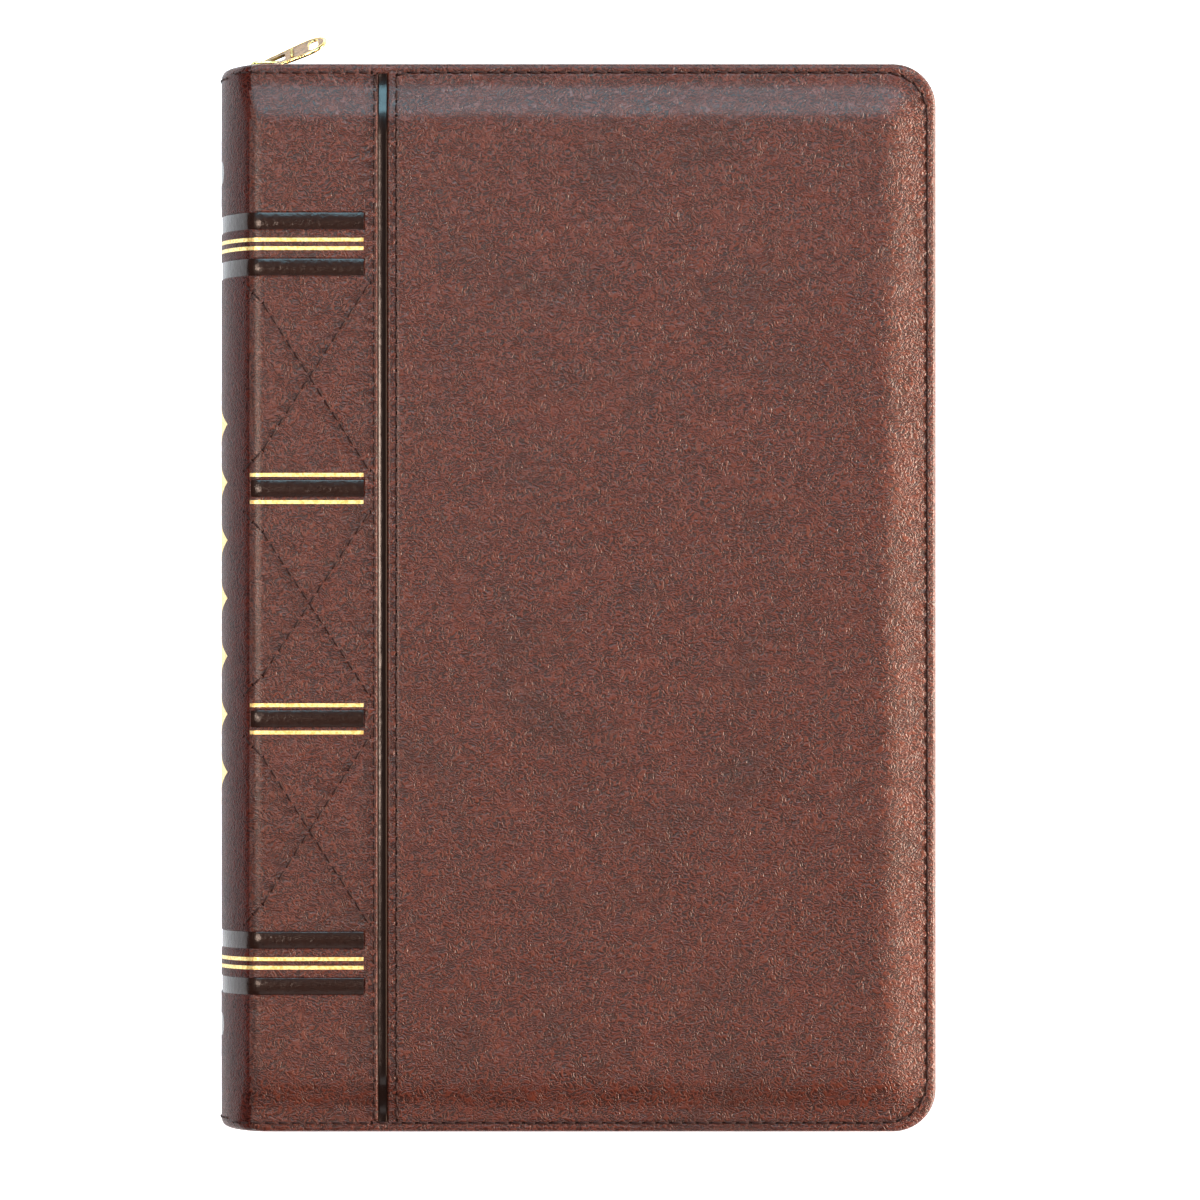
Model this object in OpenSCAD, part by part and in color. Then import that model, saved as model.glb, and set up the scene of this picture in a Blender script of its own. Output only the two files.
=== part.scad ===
// A zip-fastened bible in padded leather, closed and lying on its back cover.
// +Y is the head, -X is the spine and +Z points up through the front cover.
// The origin is the middle of the back cover's flat outer face. Millimetres.

/* [Book] */
// Height of the covers, from tail to head
book_h = 220; // [200:1:240]
// Width of the covers, from the spine crease to the fore-edge
cover_w = 140.4; // [130:0.2:150]
// Thickness of the closed book
book_t = 38; // [37:0.5:44]
// How far the rounded spine stands out past the creases
spine_bulge = 6.9; // [5:0.1:9]
// Corner radius of the covers at the fore-edge
cover_corner_r = 8.8; // [7:0.2:12]

/* [Cover layers] */
// Thickness of the leather
leather_t = 1; // [0.8:0.1:1.2]
// Thickness of the foam padding
foam_t = 2; // [2:0.1:2.4]
// Thickness of the cover board
board_t = 1.4; // [1:0.1:1.8]
// Thickness of the inside lining
lining_t = 0.4; // [0.3:0.1:0.5]
// Drop from the padded middle down to the sewn rim
pillow_drop = 1.9; // [1:0.1:1.9]
// Width of the padded slope at the head and the tail
slope_ends = 7; // [5:0.5:10]
// Width of the padded slope at the fore-edge
slope_fore = 13; // [8:0.5:16]

/* [Decoration] */
// Distance from the spine crease to the middle of the piping
piping_x = 26.4; // [22:0.2:34]
// Width of the piping
piping_w = 1.6; // [1:0.1:2]
// Width of a dark pressed band
band_w = 3.5; // [2.5:0.1:4.5]
// Width of a gold line
gold_w = 0.85; // [0.6:0.05:1.2]
// Length of the bands on a cover, from the crease
band_len = 22.7; // [18:0.1:24]
// Distance of the outer band groups from the middle of the pattern
outer_group_y = 74; // [70:0.2:78]
// Distance of the inner band groups from the middle of the pattern
inner_group_y = 23.7; // [20:0.1:28]

/* [Zip] */
// Distance of the zip tape's middle from the edge of the covers
zip_inset = 4; // [3.5:0.1:5]
// Thickness of the zip tape
tape_t = 0.5; // [0.4:0.1:0.7]
// Length of the slider
slider_len = 10; // [8:0.5:11]
// Length of the pull tab, from its hinge bar to its tip
tab_len = 15.4; // [12:0.2:20]
// Greatest width of the pull tab
tab_w = 7.2; // [5.5:0.1:8]
// Angle of the pull tab away from the chain, at rest
tab_raise = 23; // [10:1:60]
// Sideways lean of the pull tab on its bridge
tab_lean = 17; // [0:1:18]

/* [Hidden] */
$fn = 96;

SIDES = [-1, 1];
mid_z = book_t / 2;
half_h = book_h / 2;
whole_w = cover_w + spine_bulge;
crease_x = -whole_w / 2 + spine_bulge;
fore_x = whole_w / 2;
crease_gap = 0.15;        // each leather edge to the crease line
skin_t = leather_t + foam_t + board_t + lining_t;
rim_w = 1.9;              // flat sewn rim outside the padded slope
joint_w = 2.3;            // limp leather joint between the crease and the boards
board_inset = 1.2;
lining_inset = 0.6;
slope_w = slope_ends + rim_w;

// Rounded spine: one arc through both creases and the far point of the bulge.
spine_r = (mid_z * mid_z + spine_bulge * spine_bulge) / (2 * spine_bulge);
spine_cx = crease_x - spine_bulge + spine_r;
spine_end_r = 3.4;
stiffener_t = 1.2;
stiffener_end_gap = 6;    // stiffener to the head and tail of the spine
stiffener_z0 = 3.2;
lining_cloth_t = 0.6;
ply_gap = 0.05;
block_back_in = leather_t + stiffener_t + lining_cloth_t + 3 * ply_gap;
glue_z0 = 0.4;            // glued back of the sections, inside the linings
end_band_t = 1.3;
end_band_depth = 2.2;
end_band_z0 = 1;

// Text block, in two halves that part at the middle.
block_end_y = half_h - 8.5;
block_left_x = crease_x + 0.8;
block_fore_x = fore_x - 6.7;
block_corner_r = 6;
block_hollow = 3.6;
block_gap = 0.2;          // half the gap between the two halves
ribbon_t = 0.2;
ribbon_w = 7;
ribbon_from_crease = 18;
ribbon_end_gap = 3;       // ribbon to the head and tail of the leaves
ribbon_turn = 5;
paper_t = 0.15;

// Decoration pressed into or laid flush with the leather.
band_depth = 0.3;
foil_t = 0.12;
piping_sink = 0.4;
thread_w = 0.45;
thread_t = 0.25;
seam_gap = 0.2;
panel_x0 = crease_x + piping_x + piping_w / 2 + seam_gap;
seam_left = -1.9;         // seam stitches, from the middle of the piping
seam_right = 2.5;
pattern_y = -1.25;        // the bands sit a little below the middle of the book
outer_band_off = 4.75;    // outer groups: dark bands outside two gold lines
outer_gold_off = 0.88;
inner_gold_off = 2.8;     // inner groups: gold lines outside one dark band
cross_gap = 1.1;          // clear space between the crosses and the bands
OUTER_BANDS = [for (g = SIDES) for (s = SIDES) g * outer_group_y + s * outer_band_off];
OUTER_GOLD = [for (g = SIDES) for (s = SIDES) g * outer_group_y + s * outer_gold_off];
INNER_GOLD = [for (g = SIDES) for (s = SIDES) g * inner_group_y + s * inner_gold_off];

// Zip chain and slider.
zip_y = half_h - zip_inset;
zip_x = fore_x - zip_inset;
zip_corner_r = cover_corner_r - zip_inset;
zip_start_x = crease_x + 0.4;
tooth_in = 0.45;          // inner face of a tooth row, from the parting plane
tooth_out = 2.1;
tooth_t = 2.6;
plate_t = 1.1;
channel_t = 3.2;
slider_nose_x = crease_x - 2.75;
slider_nose_w = 9;
slider_tail_w = 7;
nose_chamfer = 1.4;
nose_len = 4.4;           // full-width part of the plates
tail_end_len = 3;
flange_w = 0.85;
flange_h = 0.8;
web_t = 0.4;
web_len = 2.4;
stop_len = 2.2;

bridge_w = 1.8;
bridge_t = 0.8;
bar_play = 0.15;          // clearance round the pull tab's hinge bar
pivot_x = slider_nose_x + 2.6;
plate_top_y = zip_y + channel_t / 2 + plate_t;
pivot_y = plate_top_y + 1.5;
tab_t = 0.9;
tab_root_w = 4.8;
tab_window_w = 3.4;
tab_window_len = 6.6;
tab_bar_r = 0.5;
tab_root_flare = 0.4;
slot_rim = 2.3;           // metal beside the oval slot near the tip
slot_len = 3;             // between the centres of its round ends
slot_off = 1;

// ---------- Shapes shared by both covers ----------

// Outline of a cover seen from above, inset on all sides but the crease.
module cover_outline(inset = 0, left = crease_x + crease_gap) {
    r = cover_corner_r - inset;
    x1 = fore_x - inset;
    y1 = half_h - inset;
    union() {
        translate([left, -y1]) square([x1 - r - left, 2 * y1]);
        translate([left, -y1 + r]) square([x1 - left, 2 * (y1 - r)]);
        for (side = SIDES)
            translate([x1 - r, side * (y1 - r)]) circle(r);
    }
}

// Profile of the padded cover from head to tail, in Y and Z.
module end_profile(inset, bottom) {
    top = book_t - inset;
    rim = top - pillow_drop;
    polygon([
        [-half_h, bottom], [half_h, bottom], [half_h, rim], [half_h - rim_w - inset, rim],
        [half_h - slope_w - inset, top], [slope_w + inset - half_h, top],
        [rim_w + inset - half_h, rim], [-half_h, rim]
    ]);
}

// Profile of the padded cover from spine to fore-edge, in X and Z.
module side_profile(inset, bottom) {
    top = book_t - inset;
    rim = top - pillow_drop;
    polygon([
        [-whole_w, bottom], [fore_x, bottom], [fore_x, rim], [fore_x - rim_w - inset, rim],
        [fore_x - rim_w - slope_fore - inset, top], [-whole_w, top]
    ]);
}

module along_x(len) {
    translate([-len / 2, 0, 0]) rotate([90, 0, 90]) linear_extrude(len) children();
}

module along_y(len) {
    translate([0, len / 2, 0]) rotate([90, 0, 0]) linear_extrude(len) children();
}

// Everything under the padded surface, which lies inset below the outer one.
module pillow(inset, bottom) {
    intersection() {
        along_x(2 * whole_w) end_profile(inset, bottom);
        along_y(2 * book_h) side_profile(inset, bottom);
    }
}

// The back cover is the front cover mirrored about the middle of the book.
module for_cover(front) {
    if (front)
        children();
    else
        translate([0, 0, book_t]) mirror([0, 0, 1]) children();
}

// A strip of the cover's surface between two lines of X and two of Y, a given depth thick.
module surface_strip(x0, x1, y0, y1, depth) {
    difference() {
        intersection() {
            pillow(0, book_t - skin_t);
            translate([x0, y0, 0]) cube([x1 - x0, y1 - y0, book_t]);
        }
        pillow(depth, 0);
    }
}

// ---------- Band pattern ----------

// Boxes across the leather under its top face, one for each Y given.
module stripe_boxes(centres, width, x0, x1, depth) {
    for (y = centres)
        translate([x0, pattern_y + y - width / 2, book_t - depth]) cube([x1 - x0, width, depth]);
}

module band_boxes(x0, x1, depth) {
    stripe_boxes(concat(OUTER_BANDS, [-inner_group_y, inner_group_y]), band_w, x0, x1, depth);
}

module gold_boxes(x0, x1, depth) {
    stripe_boxes(concat(OUTER_GOLD, INNER_GOLD), gold_w, x0, x1, depth);
}

// Two crossed lines of stitches between neighbouring band groups.
module cross_lines(depth) {
    x0 = crease_x + 0.9;
    x1 = crease_x + band_len + 1;
    outer = outer_group_y - outer_band_off - band_w / 2 - cross_gap;
    inner = inner_group_y + inner_gold_off + gold_w / 2 + cross_gap;
    middle = inner_group_y - inner_gold_off - gold_w / 2 - cross_gap;
    for (span = [[-outer, -inner], [-middle, middle], [inner, outer]])
        for (side = SIDES) {
            rise = side * (span[1] - span[0]);
            reach = norm([x1 - x0, rise]);
            translate([(x0 + x1) / 2, pattern_y + (span[0] + span[1]) / 2, book_t - depth / 2])
                rotate([0, 0, atan2(rise, x1 - x0)])
                    cube([reach, thread_w, depth], center = true);
        }
}

// ---------- Covers ----------

// The leather of a cover between two lines of X, before it is decorated.
module leather_blank(x0, x1) {
    difference() {
        intersection() {
            pillow(0, book_t - skin_t + lining_t);
            linear_extrude(book_t) cover_outline();
            translate([x0, -half_h, 0]) cube([x1 - x0, book_h, book_t]);
        }
        foam_space();
        linear_extrude(book_t - leather_t - foam_t) cover_outline(board_inset, crease_x - 1);
        intersection() {
            pillow(leather_t, 0);
            translate([crease_x - 1, -half_h - 1, 0]) cube([1 + joint_w, book_h + 2, book_t]);
        }
    }
}

// The strip of leather beside the spine, with the bands and the stitched crosses.
module hinge_leather(front) {
    color("saddlebrown") for_cover(front) difference() {
        leather_blank(crease_x, crease_x + piping_x - piping_w / 2 - seam_gap);
        band_boxes(crease_x, crease_x + band_len, band_depth);
        gold_boxes(crease_x, crease_x + band_len, foil_t);
        if (front) {
            cross_lines(thread_t);
            seam_line(seam_left);
        }
    }
}

// The padded leather panel outside the piping.
module panel_leather(front) {
    color("saddlebrown") for_cover(front) difference() {
        leather_blank(panel_x0, fore_x);
        border_line(panel_x0);
        if (front)
            seam_line(seam_right);
    }
}

// The space that the foam fills, under the leather and inside its turned rim.
module foam_space() {
    intersection() {
        pillow(leather_t, book_t - leather_t - foam_t - 1);
        linear_extrude(book_t) cover_outline(rim_w, crease_x + joint_w);
    }
}

module foam(front) {
    color("khaki") for_cover(front) intersection() {
        pillow(leather_t, book_t - leather_t - foam_t);
        linear_extrude(book_t) cover_outline(rim_w, crease_x + joint_w);
    }
}

// Glossy strip sunk in the seam between the two leathers of a cover.
module piping(front) {
    color("black") for_cover(front) difference() {
        intersection() {
            pillow(piping_sink, book_t - skin_t);
            translate([crease_x + piping_x - piping_w / 2, -half_h + piping_sink, 0])
                cube([piping_w, book_h - 2 * piping_sink, book_t]);
        }
        pillow(leather_t - ply_gap, 0);
    }
}

module seam_line(off) {
    x = crease_x + piping_x + off;
    surface_strip(x - thread_w / 2, x + thread_w / 2, rim_w - half_h, half_h - rim_w, thread_t);
}

// Stitches round the three sewn edges, starting at the given X.
module border_line(left) {
    inset = rim_w - 0.3;
    intersection() {
        difference() {
            pillow(0, book_t - skin_t);
            pillow(thread_t, 0);
        }
        linear_extrude(book_t) difference() {
            cover_outline(inset - thread_w / 2, left);
            cover_outline(inset + thread_w / 2, left - 1);
        }
    }
}

module board(front) {
    color("tan") for_cover(front)
        translate([0, 0, book_t - leather_t - foam_t - board_t])
            linear_extrude(board_t) cover_outline(board_inset, crease_x + joint_w);
}

module lining(front) {
    color("sienna") for_cover(front)
        translate([0, 0, book_t - skin_t])
            linear_extrude(lining_t) cover_outline(lining_inset, crease_x + joint_w);
}

module border_stitching(front) {
    color("maroon") for_cover(front) border_line(panel_x0);
}

module front_seam_stitching() {
    color("maroon") for (off = [seam_left, seam_right])
        seam_line(off);
}

module front_cross_stitching() {
    color("maroon") cross_lines(thread_t);
}

module bands(front) {
    color("black") for_cover(front) translate([0, 0, foil_t - band_depth])
        band_boxes(crease_x + 1, crease_x + band_len, foil_t);
}

module gold_lines(front) {
    color("gold") for_cover(front) gold_boxes(crease_x + 1, crease_x + band_len, foil_t);
}

// ---------- Spine ----------

// Half ring that follows the rounded spine, between two depths below it.
module spine_ring(depth0, depth1) {
    difference() {
        translate([spine_cx, mid_z]) circle(spine_r - depth0);
        translate([spine_cx, mid_z]) circle(spine_r - depth1);
        translate([crease_x - crease_gap, -book_t]) square([2 * whole_w, 3 * book_t]);
    }
}

// Height limits that make the ends of the spine follow the padded covers.
module spine_limits() {
    intersection() {
        along_x(3 * whole_w) end_profile(0, mid_z - book_t);
        for_cover(false) along_x(3 * whole_w) end_profile(0, mid_z - book_t);
        linear_extrude(book_t) union() {
            left = -whole_w / 2;
            translate([left + spine_end_r, -half_h]) square([20, book_h]);
            translate([left, spine_end_r - half_h]) square([20, book_h - 2 * spine_end_r]);
            for (side = SIDES)
                translate([left + spine_end_r, side * (half_h - spine_end_r)]) circle(spine_end_r);
        }
    }
}

module spine_stripe_zones(centres, width) {
    for (y = centres)
        translate([-whole_w, pattern_y + y - width / 2, 1]) cube([whole_w, width, book_t - 2]);
}

// A plain column of lozenges and dots, and a rosette near each end.
module spine_ornament_zones() {
    pitch = 12;
    lozenge_across = 20;
    lozenge_along = 9;
    dot_r = 0.9;
    rosette_y = 88.3;
    petal_off = 4.6;
    petal_r = 2.4;
    translate([-whole_w, 0, mid_z]) rotate([0, 90, 0]) linear_extrude(whole_w) {
        for (i = [-3 : 3])
            translate([0, i * pitch]) scale([lozenge_across, lozenge_along]) circle(d = 1, $fn = 4);
        for (i = [-3.5 : 3.5])
            translate([0, i * pitch]) circle(dot_r);
        for (side = SIDES)
            for (a = [0 : 90 : 270])
                translate([0, side * rosette_y]) rotate(a) translate([petal_off, 0]) circle(petal_r);
    }
}

module spine_leather() {
    color("saddlebrown") difference() {
        intersection() {
            along_y(book_h) spine_ring(0, leather_t);
            spine_limits();
        }
        intersection() {
            along_y(book_h) spine_ring(-1, band_depth);
            spine_stripe_zones(OUTER_BANDS, band_w);
        }
        intersection() {
            along_y(book_h) spine_ring(-1, foil_t);
            union() {
                spine_stripe_zones(OUTER_GOLD, gold_w);
                spine_ornament_zones();
            }
        }
    }
}

module spine_bands() {
    color("black") intersection() {
        along_y(book_h) spine_ring(band_depth - foil_t, band_depth);
        spine_stripe_zones(OUTER_BANDS, band_w);
    }
}

module spine_gold_lines() {
    color("gold") intersection() {
        along_y(book_h) spine_ring(0, foil_t);
        spine_stripe_zones(OUTER_GOLD, gold_w);
    }
}

module spine_ornaments() {
    color("gold") intersection() {
        along_y(book_h) spine_ring(0, foil_t);
        spine_ornament_zones();
    }
}

module spine_stiffener() {
    start = leather_t + ply_gap;
    color("tan") intersection() {
        along_y(book_h - 2 * stiffener_end_gap) spine_ring(start, start + stiffener_t);
        translate([-whole_w, -half_h, stiffener_z0])
            cube([whole_w, book_h, book_t - 2 * stiffener_z0]);
    }
}

module spine_lining() {
    start = leather_t + stiffener_t + 2 * ply_gap;
    z0 = skin_t - lining_t;
    color("white") intersection() {
        along_y(2 * block_end_y) spine_ring(start, start + lining_cloth_t);
        translate([-whole_w, -half_h, z0]) cube([whole_w, book_h, book_t - 2 * z0]);
    }
}

// The rounded, glued back of the sewn sections.
module text_block_back() {
    z0 = skin_t + glue_z0;
    color("ivory") intersection() {
        along_y(2 * block_end_y) difference() {
            translate([spine_cx, mid_z]) circle(spine_r - block_back_in);
            translate([crease_x - 2 * crease_gap, -book_t]) square([2 * whole_w, 3 * book_t]);
        }
        translate([-whole_w, -half_h, z0]) cube([whole_w, book_h, book_t - 2 * z0]);
    }
}

module end_band(side) {
    y = side > 0 ? block_end_y + end_band_t : -block_end_y;
    z0 = skin_t + end_band_z0;
    color("gold") intersection() {
        translate([0, y, 0]) rotate([90, 0, 0])
            linear_extrude(end_band_t) difference() {
                translate([spine_cx, mid_z]) circle(spine_r - block_back_in);
                translate([spine_cx, mid_z]) circle(spine_r - block_back_in - end_band_depth);
                translate([crease_x - 2 * crease_gap, -book_t]) square([2 * whole_w, 3 * book_t]);
            }
        translate([-whole_w, -book_h, z0]) cube([whole_w, 2 * book_h, book_t - 2 * z0]);
    }
}

// ---------- Text block ----------

module block_outline() {
    r = block_corner_r;
    union() {
        translate([block_left_x, -block_end_y])
            square([block_fore_x - r - block_left_x, 2 * block_end_y]);
        translate([block_left_x, r - block_end_y])
            square([block_fore_x - block_left_x, 2 * (block_end_y - r)]);
        for (side = SIDES)
            translate([block_fore_x - r, side * (block_end_y - r)]) circle(r);
    }
}

// Half of the leaves, with the hollow fore-edge of a rounded book.
module half_block(front) {
    half_t = mid_z - skin_t - 2 * paper_t;
    chord = half_t - 1;   // a narrow square edge stays above the hollow
    hollow_r = (chord * chord + block_hollow * block_hollow) / (2 * block_hollow);
    for_cover(front) color("ivory") difference() {
        translate([0, 0, mid_z + block_gap]) linear_extrude(half_t - block_gap) block_outline();
        translate([block_fore_x - block_hollow + hollow_r, 0, mid_z])
            rotate([90, 0, 0]) cylinder(r = hollow_r, h = book_h, center = true);
    }
}

module endpaper(front) {
    z = book_t - skin_t - 2 * paper_t;
    for_cover(front) color("wheat") translate([0, 0, z]) linear_extrude(paper_t) block_outline();
}

// Ribbon between the two halves, from the head near the spine down to the tail.
module ribbon_marker() {
    length = 2 * (block_end_y - ribbon_end_gap);
    color("darkred")
        translate([crease_x + ribbon_from_crease, 0, mid_z - block_gap])
            rotate([0, 0, ribbon_turn])
                translate([-ribbon_w / 2, -length / 2, 0]) cube([ribbon_w, length, ribbon_t]);
}

// ---------- Zip ----------

// Outline through the zip chain, offset inwards by the given distance.
module zip_outline(inset, left) {
    r = zip_corner_r - inset;
    x1 = zip_x - inset;
    y1 = zip_y - inset;
    union() {
        translate([left, -y1]) square([x1 - r - left, 2 * y1]);
        translate([left, r - y1]) square([x1 - left, 2 * (y1 - r)]);
        for (side = SIDES)
            translate([x1 - r, side * (y1 - r)]) circle(r);
    }
}

module zip_band(thickness, z0, z1, left) {
    translate([0, 0, z0]) linear_extrude(z1 - z0) difference() {
        zip_outline(-thickness / 2, left);
        zip_outline(thickness / 2, left - 1);
    }
}

module zip_tape(front) {
    for_cover(front) color("saddlebrown")
        zip_band(tape_t, mid_z + tooth_out, book_t - skin_t, zip_start_x);
}

// A row of teeth on the tape's edge; the front row starts clear of the slider.
module zip_teeth(front) {
    slider_end = slider_nose_x + slider_len + 0.8;
    for_cover(front) color("gold") difference() {
        zip_band(tooth_t, mid_z + tooth_in, mid_z + tooth_out, zip_start_x);
        translate([zip_start_x - 1, 0, 0])
            cube([slider_end - zip_start_x + 1, book_h, book_t]);
        zip_stop_box(0.1);
    }
}

module zip_stop_box(extra) {
    translate([zip_start_x - extra, -zip_y - tooth_t / 2 - 0.15 - extra, mid_z + tooth_in - extra])
        cube([stop_len + 2 * extra, tooth_t + 0.3 + 2 * extra, tooth_out - tooth_in + extra]);
}

module zip_stop(front) {
    for_cover(front) color("gold") zip_stop_box(0);
}

// Outline of a slider plate in X and Z, wide at the nose and narrow at the tail.
module plate_outline() {
    x0 = slider_nose_x;
    x1 = slider_nose_x + slider_len;
    w0 = slider_nose_w / 2;
    w1 = slider_tail_w / 2;
    polygon([
        [x0, nose_chamfer - w0], [x0 + nose_chamfer, -w0], [x0 + nose_len, -w0],
        [x1 - tail_end_len, -w1], [x1, -w1], [x1, w1], [x1 - tail_end_len, w1],
        [x0 + nose_len, w0], [x0 + nose_chamfer, w0], [x0, w0 - nose_chamfer]
    ]);
}

module plate_slab(y0, t) {
    translate([0, y0 + t, mid_z]) rotate([90, 0, 0]) linear_extrude(t) plate_outline();
}

module slider_body() {
    inner_y = zip_y - channel_t / 2;
    outer_y = zip_y + channel_t / 2;
    inside_w = slider_tail_w - 2 * flange_w;
    color("gold") union() {
        plate_slab(inner_y - plate_t, plate_t);
        plate_slab(outer_y, plate_t);
        difference() {
            plate_slab(inner_y, channel_t);
            translate([slider_nose_x - 1, inner_y - 1, mid_z - inside_w / 2])
                cube([slider_len + 2, channel_t + 2, inside_w]);
            translate([slider_nose_x - 1, inner_y + flange_h, 0])
                cube([slider_len + 2, channel_t - 2 * flange_h, book_t]);
        }
        translate([slider_nose_x, inner_y, mid_z - web_t / 2])
            cube([web_len, channel_t, web_t]);
    }
}

// Arch on the outer plate that holds the pull tab's hinge bar.
module slider_bridge() {
    x0 = slider_nose_x + 1;
    x1 = slider_nose_x + slider_len - 1.4;
    lean_play = bridge_w / 2 * tan(tab_lean);
    rise = pivot_y - plate_top_y + tab_bar_r / cos(tab_lean) + lean_play + bar_play;
    color("gold") translate([0, plate_top_y, mid_z - bridge_w / 2]) difference() {
        translate([x0, 0, 0]) cube([x1 - x0, rise + bridge_t, bridge_w]);
        translate([x0 + bridge_t, -1, -1]) cube([x1 - x0 - 2 * bridge_t, rise + 1, bridge_w + 2]);
    }
}

// Outline of the pull tab: u runs from the hinge bar to the tip, v across it.
module tab_outline() {
    tip_r = tab_w / 2;
    flare_w = tab_root_w / 2 + tab_root_flare;
    slot_r = tip_r - slot_rim;
    slot_u = tab_len - tip_r + slot_off;
    difference() {
        union() {
            polygon([
                [0, -tab_root_w / 2], [tab_window_len, -flare_w],
                [tab_len - tip_r, -tip_r], [tab_len - tip_r, tip_r],
                [tab_window_len, flare_w], [0, tab_root_w / 2]
            ]);
            translate([tab_len - tip_r, 0]) circle(tip_r);
        }
        translate([-1, -tab_window_w / 2]) square([tab_window_len + 1, tab_window_w]);
        translate([slot_u, 0]) square([2 * slot_r, slot_len], center = true);
        for (side = SIDES)
            translate([slot_u, side * slot_len / 2]) circle(slot_r);
    }
}

module pull_tab() {
    color("gold") translate([pivot_x, pivot_y, mid_z]) rotate([tab_lean, 0, 0])
        rotate([0, 0, tab_raise]) union() {
            rotate([90, 0, 0]) translate([0, 0, -tab_t / 2]) linear_extrude(tab_t) tab_outline();
            cylinder(r = tab_bar_r, h = tab_root_w, center = true);
        }
}

// ---------- Nodes ----------

panel_leather(false);  // back_leather
hinge_leather(false);  // back_hinge_leather
piping(false);  // back_piping
foam(false);  // back_foam
board(false);  // back_board
lining(false);  // back_lining
endpaper(false);  // back_endpaper
half_block(false);  // back_pages
zip_tape(false);  // back_zip_tape
zip_teeth(false);  // back_zip_teeth
zip_stop(false);  // back_zip_stop
border_stitching(false);  // back_border_stitching
bands(false);  // back_bands
gold_lines(false);  // back_gold_lines
ribbon_marker();
spine_leather();
spine_stiffener();
spine_lining();
text_block_back();
end_band(1);  // head_band
end_band(-1);  // tail_band
spine_bands();
spine_gold_lines();
spine_ornaments();
panel_leather(true);  // front_leather
hinge_leather(true);  // front_hinge_leather
piping(true);  // front_piping
foam(true);  // front_foam
board(true);  // front_board
lining(true);  // front_lining
endpaper(true);  // front_endpaper
half_block(true);  // front_pages
zip_tape(true);  // front_zip_tape
zip_teeth(true);  // front_zip_teeth
zip_stop(true);  // front_zip_stop
border_stitching(true);  // front_border_stitching
front_seam_stitching();
front_cross_stitching();
bands(true);  // front_bands
gold_lines(true);  // front_gold_lines
slider_body();
slider_bridge();
pull_tab();
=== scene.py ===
"""The looks of a zip-fastened bible in padded leather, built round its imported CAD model.

Lengths are millimetres in the row frame, and make_object turns them into metres. +Y is the head of
the book, -X its spine and +Z points up through the front cover. The back cover's pieces are the
front cover's, mirrored about the middle of the book.
"""

import math

import bmesh
import bpy
import numpy as np
from mathutils import Matrix, Vector

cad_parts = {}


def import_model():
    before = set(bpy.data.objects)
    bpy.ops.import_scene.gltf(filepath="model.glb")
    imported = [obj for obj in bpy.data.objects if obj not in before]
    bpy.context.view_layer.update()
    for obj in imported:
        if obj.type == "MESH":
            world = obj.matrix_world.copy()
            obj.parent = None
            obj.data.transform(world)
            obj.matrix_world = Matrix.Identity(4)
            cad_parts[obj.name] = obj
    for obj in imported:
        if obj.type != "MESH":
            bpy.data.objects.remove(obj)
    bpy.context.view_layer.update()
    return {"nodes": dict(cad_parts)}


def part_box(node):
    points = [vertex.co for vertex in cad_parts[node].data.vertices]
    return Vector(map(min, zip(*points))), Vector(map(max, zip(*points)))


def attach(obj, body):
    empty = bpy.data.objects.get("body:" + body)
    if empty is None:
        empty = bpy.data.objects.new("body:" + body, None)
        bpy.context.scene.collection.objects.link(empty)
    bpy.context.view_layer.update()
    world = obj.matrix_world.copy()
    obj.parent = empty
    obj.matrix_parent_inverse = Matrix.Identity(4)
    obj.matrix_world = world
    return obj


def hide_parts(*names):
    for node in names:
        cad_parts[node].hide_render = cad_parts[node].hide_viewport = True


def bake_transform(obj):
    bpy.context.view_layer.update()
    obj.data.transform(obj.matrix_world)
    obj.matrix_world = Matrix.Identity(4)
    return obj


MM = 0.001

# The book.
HALF_H = 110.0
THICK = 38.0
MID_Z = THICK / 2
CREASE_X = -66.75
FORE_X = 73.65
CORNER_R = 8.8
LEATHER_T = 1.0
SKIN_T = 4.8

# The padded face: how far it drops at its edges, and the slopes that it drops along.
PILLOW_DROP = 1.9
RIM_W = 1.9
SLOPE_ENDS = 11.5
SLOPE_FORE_X = 60.5
SLOPE_FORE = 16.5
FORE_DROP = 3.4
EDGE_R = 0.9

# The turned edge: the height where it ends, its depth, and where the leather's inner face starts.
TURNED_Z = 33.6
TURNED_DEPTH = 2.5
INNER_END = 1.2

# The rounded spine and the ridge between it and a cover.
SPINE_R = 29.61
SPINE_CX = -44.7
SPINE_END_R = 2.2
RIDGE_R = 4.6
# Past this X the leather takes a darker, duller copy of its material: painted shade on the spine's side.
SPINE_SHADE_X = -67.6
JOIN_ANGLE = math.radians(26)

# About the width of the flat leather beside the spine, which turns q into millimetres.
FLAT_W = 25.0

# The seam between the two leathers of a cover.
PIPING_X = -40.35
PIPING_W = 1.6
PANEL_X0 = -39.35
SEAM_X = -41.35
BORDER_IN = 1.85

# The stitches, and the dip that a line of them pulls into the leather.
BORDER_PITCH = 2.75
SEAM_PITCH = 2.9
SEAM_STITCH_X = (-42.05, -37.5)
STITCH_DIP = 0.1
STITCH_DIP_W = 0.35

# The pattern pressed into the leather.
PATTERN_Y = -1.25
BAND_W = 3.5
GOLD_W = 0.85
BAND_END_X = -44.05
BAND_DEPTH = 0.28
OUTER_Y = 74.0
INNER_Y = 23.7
OUTER_BANDS = [PATTERN_Y + g * OUTER_Y + s * 4.75 for g in (-1, 1) for s in (-1, 1)]
INNER_BANDS = [PATTERN_Y + g * INNER_Y for g in (-1, 1)]
OUTER_GOLD = [PATTERN_Y + g * OUTER_Y + s * 0.88 for g in (-1, 1) for s in (-1, 1)]
INNER_GOLD = [PATTERN_Y + g * INNER_Y + s * 2.8 for g in (-1, 1) for s in (-1, 1)]
CROSS_X = (-67.6, -43.0)
CROSS_SPANS = ((27.4, 66.0), (-18.8, 18.8), (-66.0, -27.4))

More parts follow.
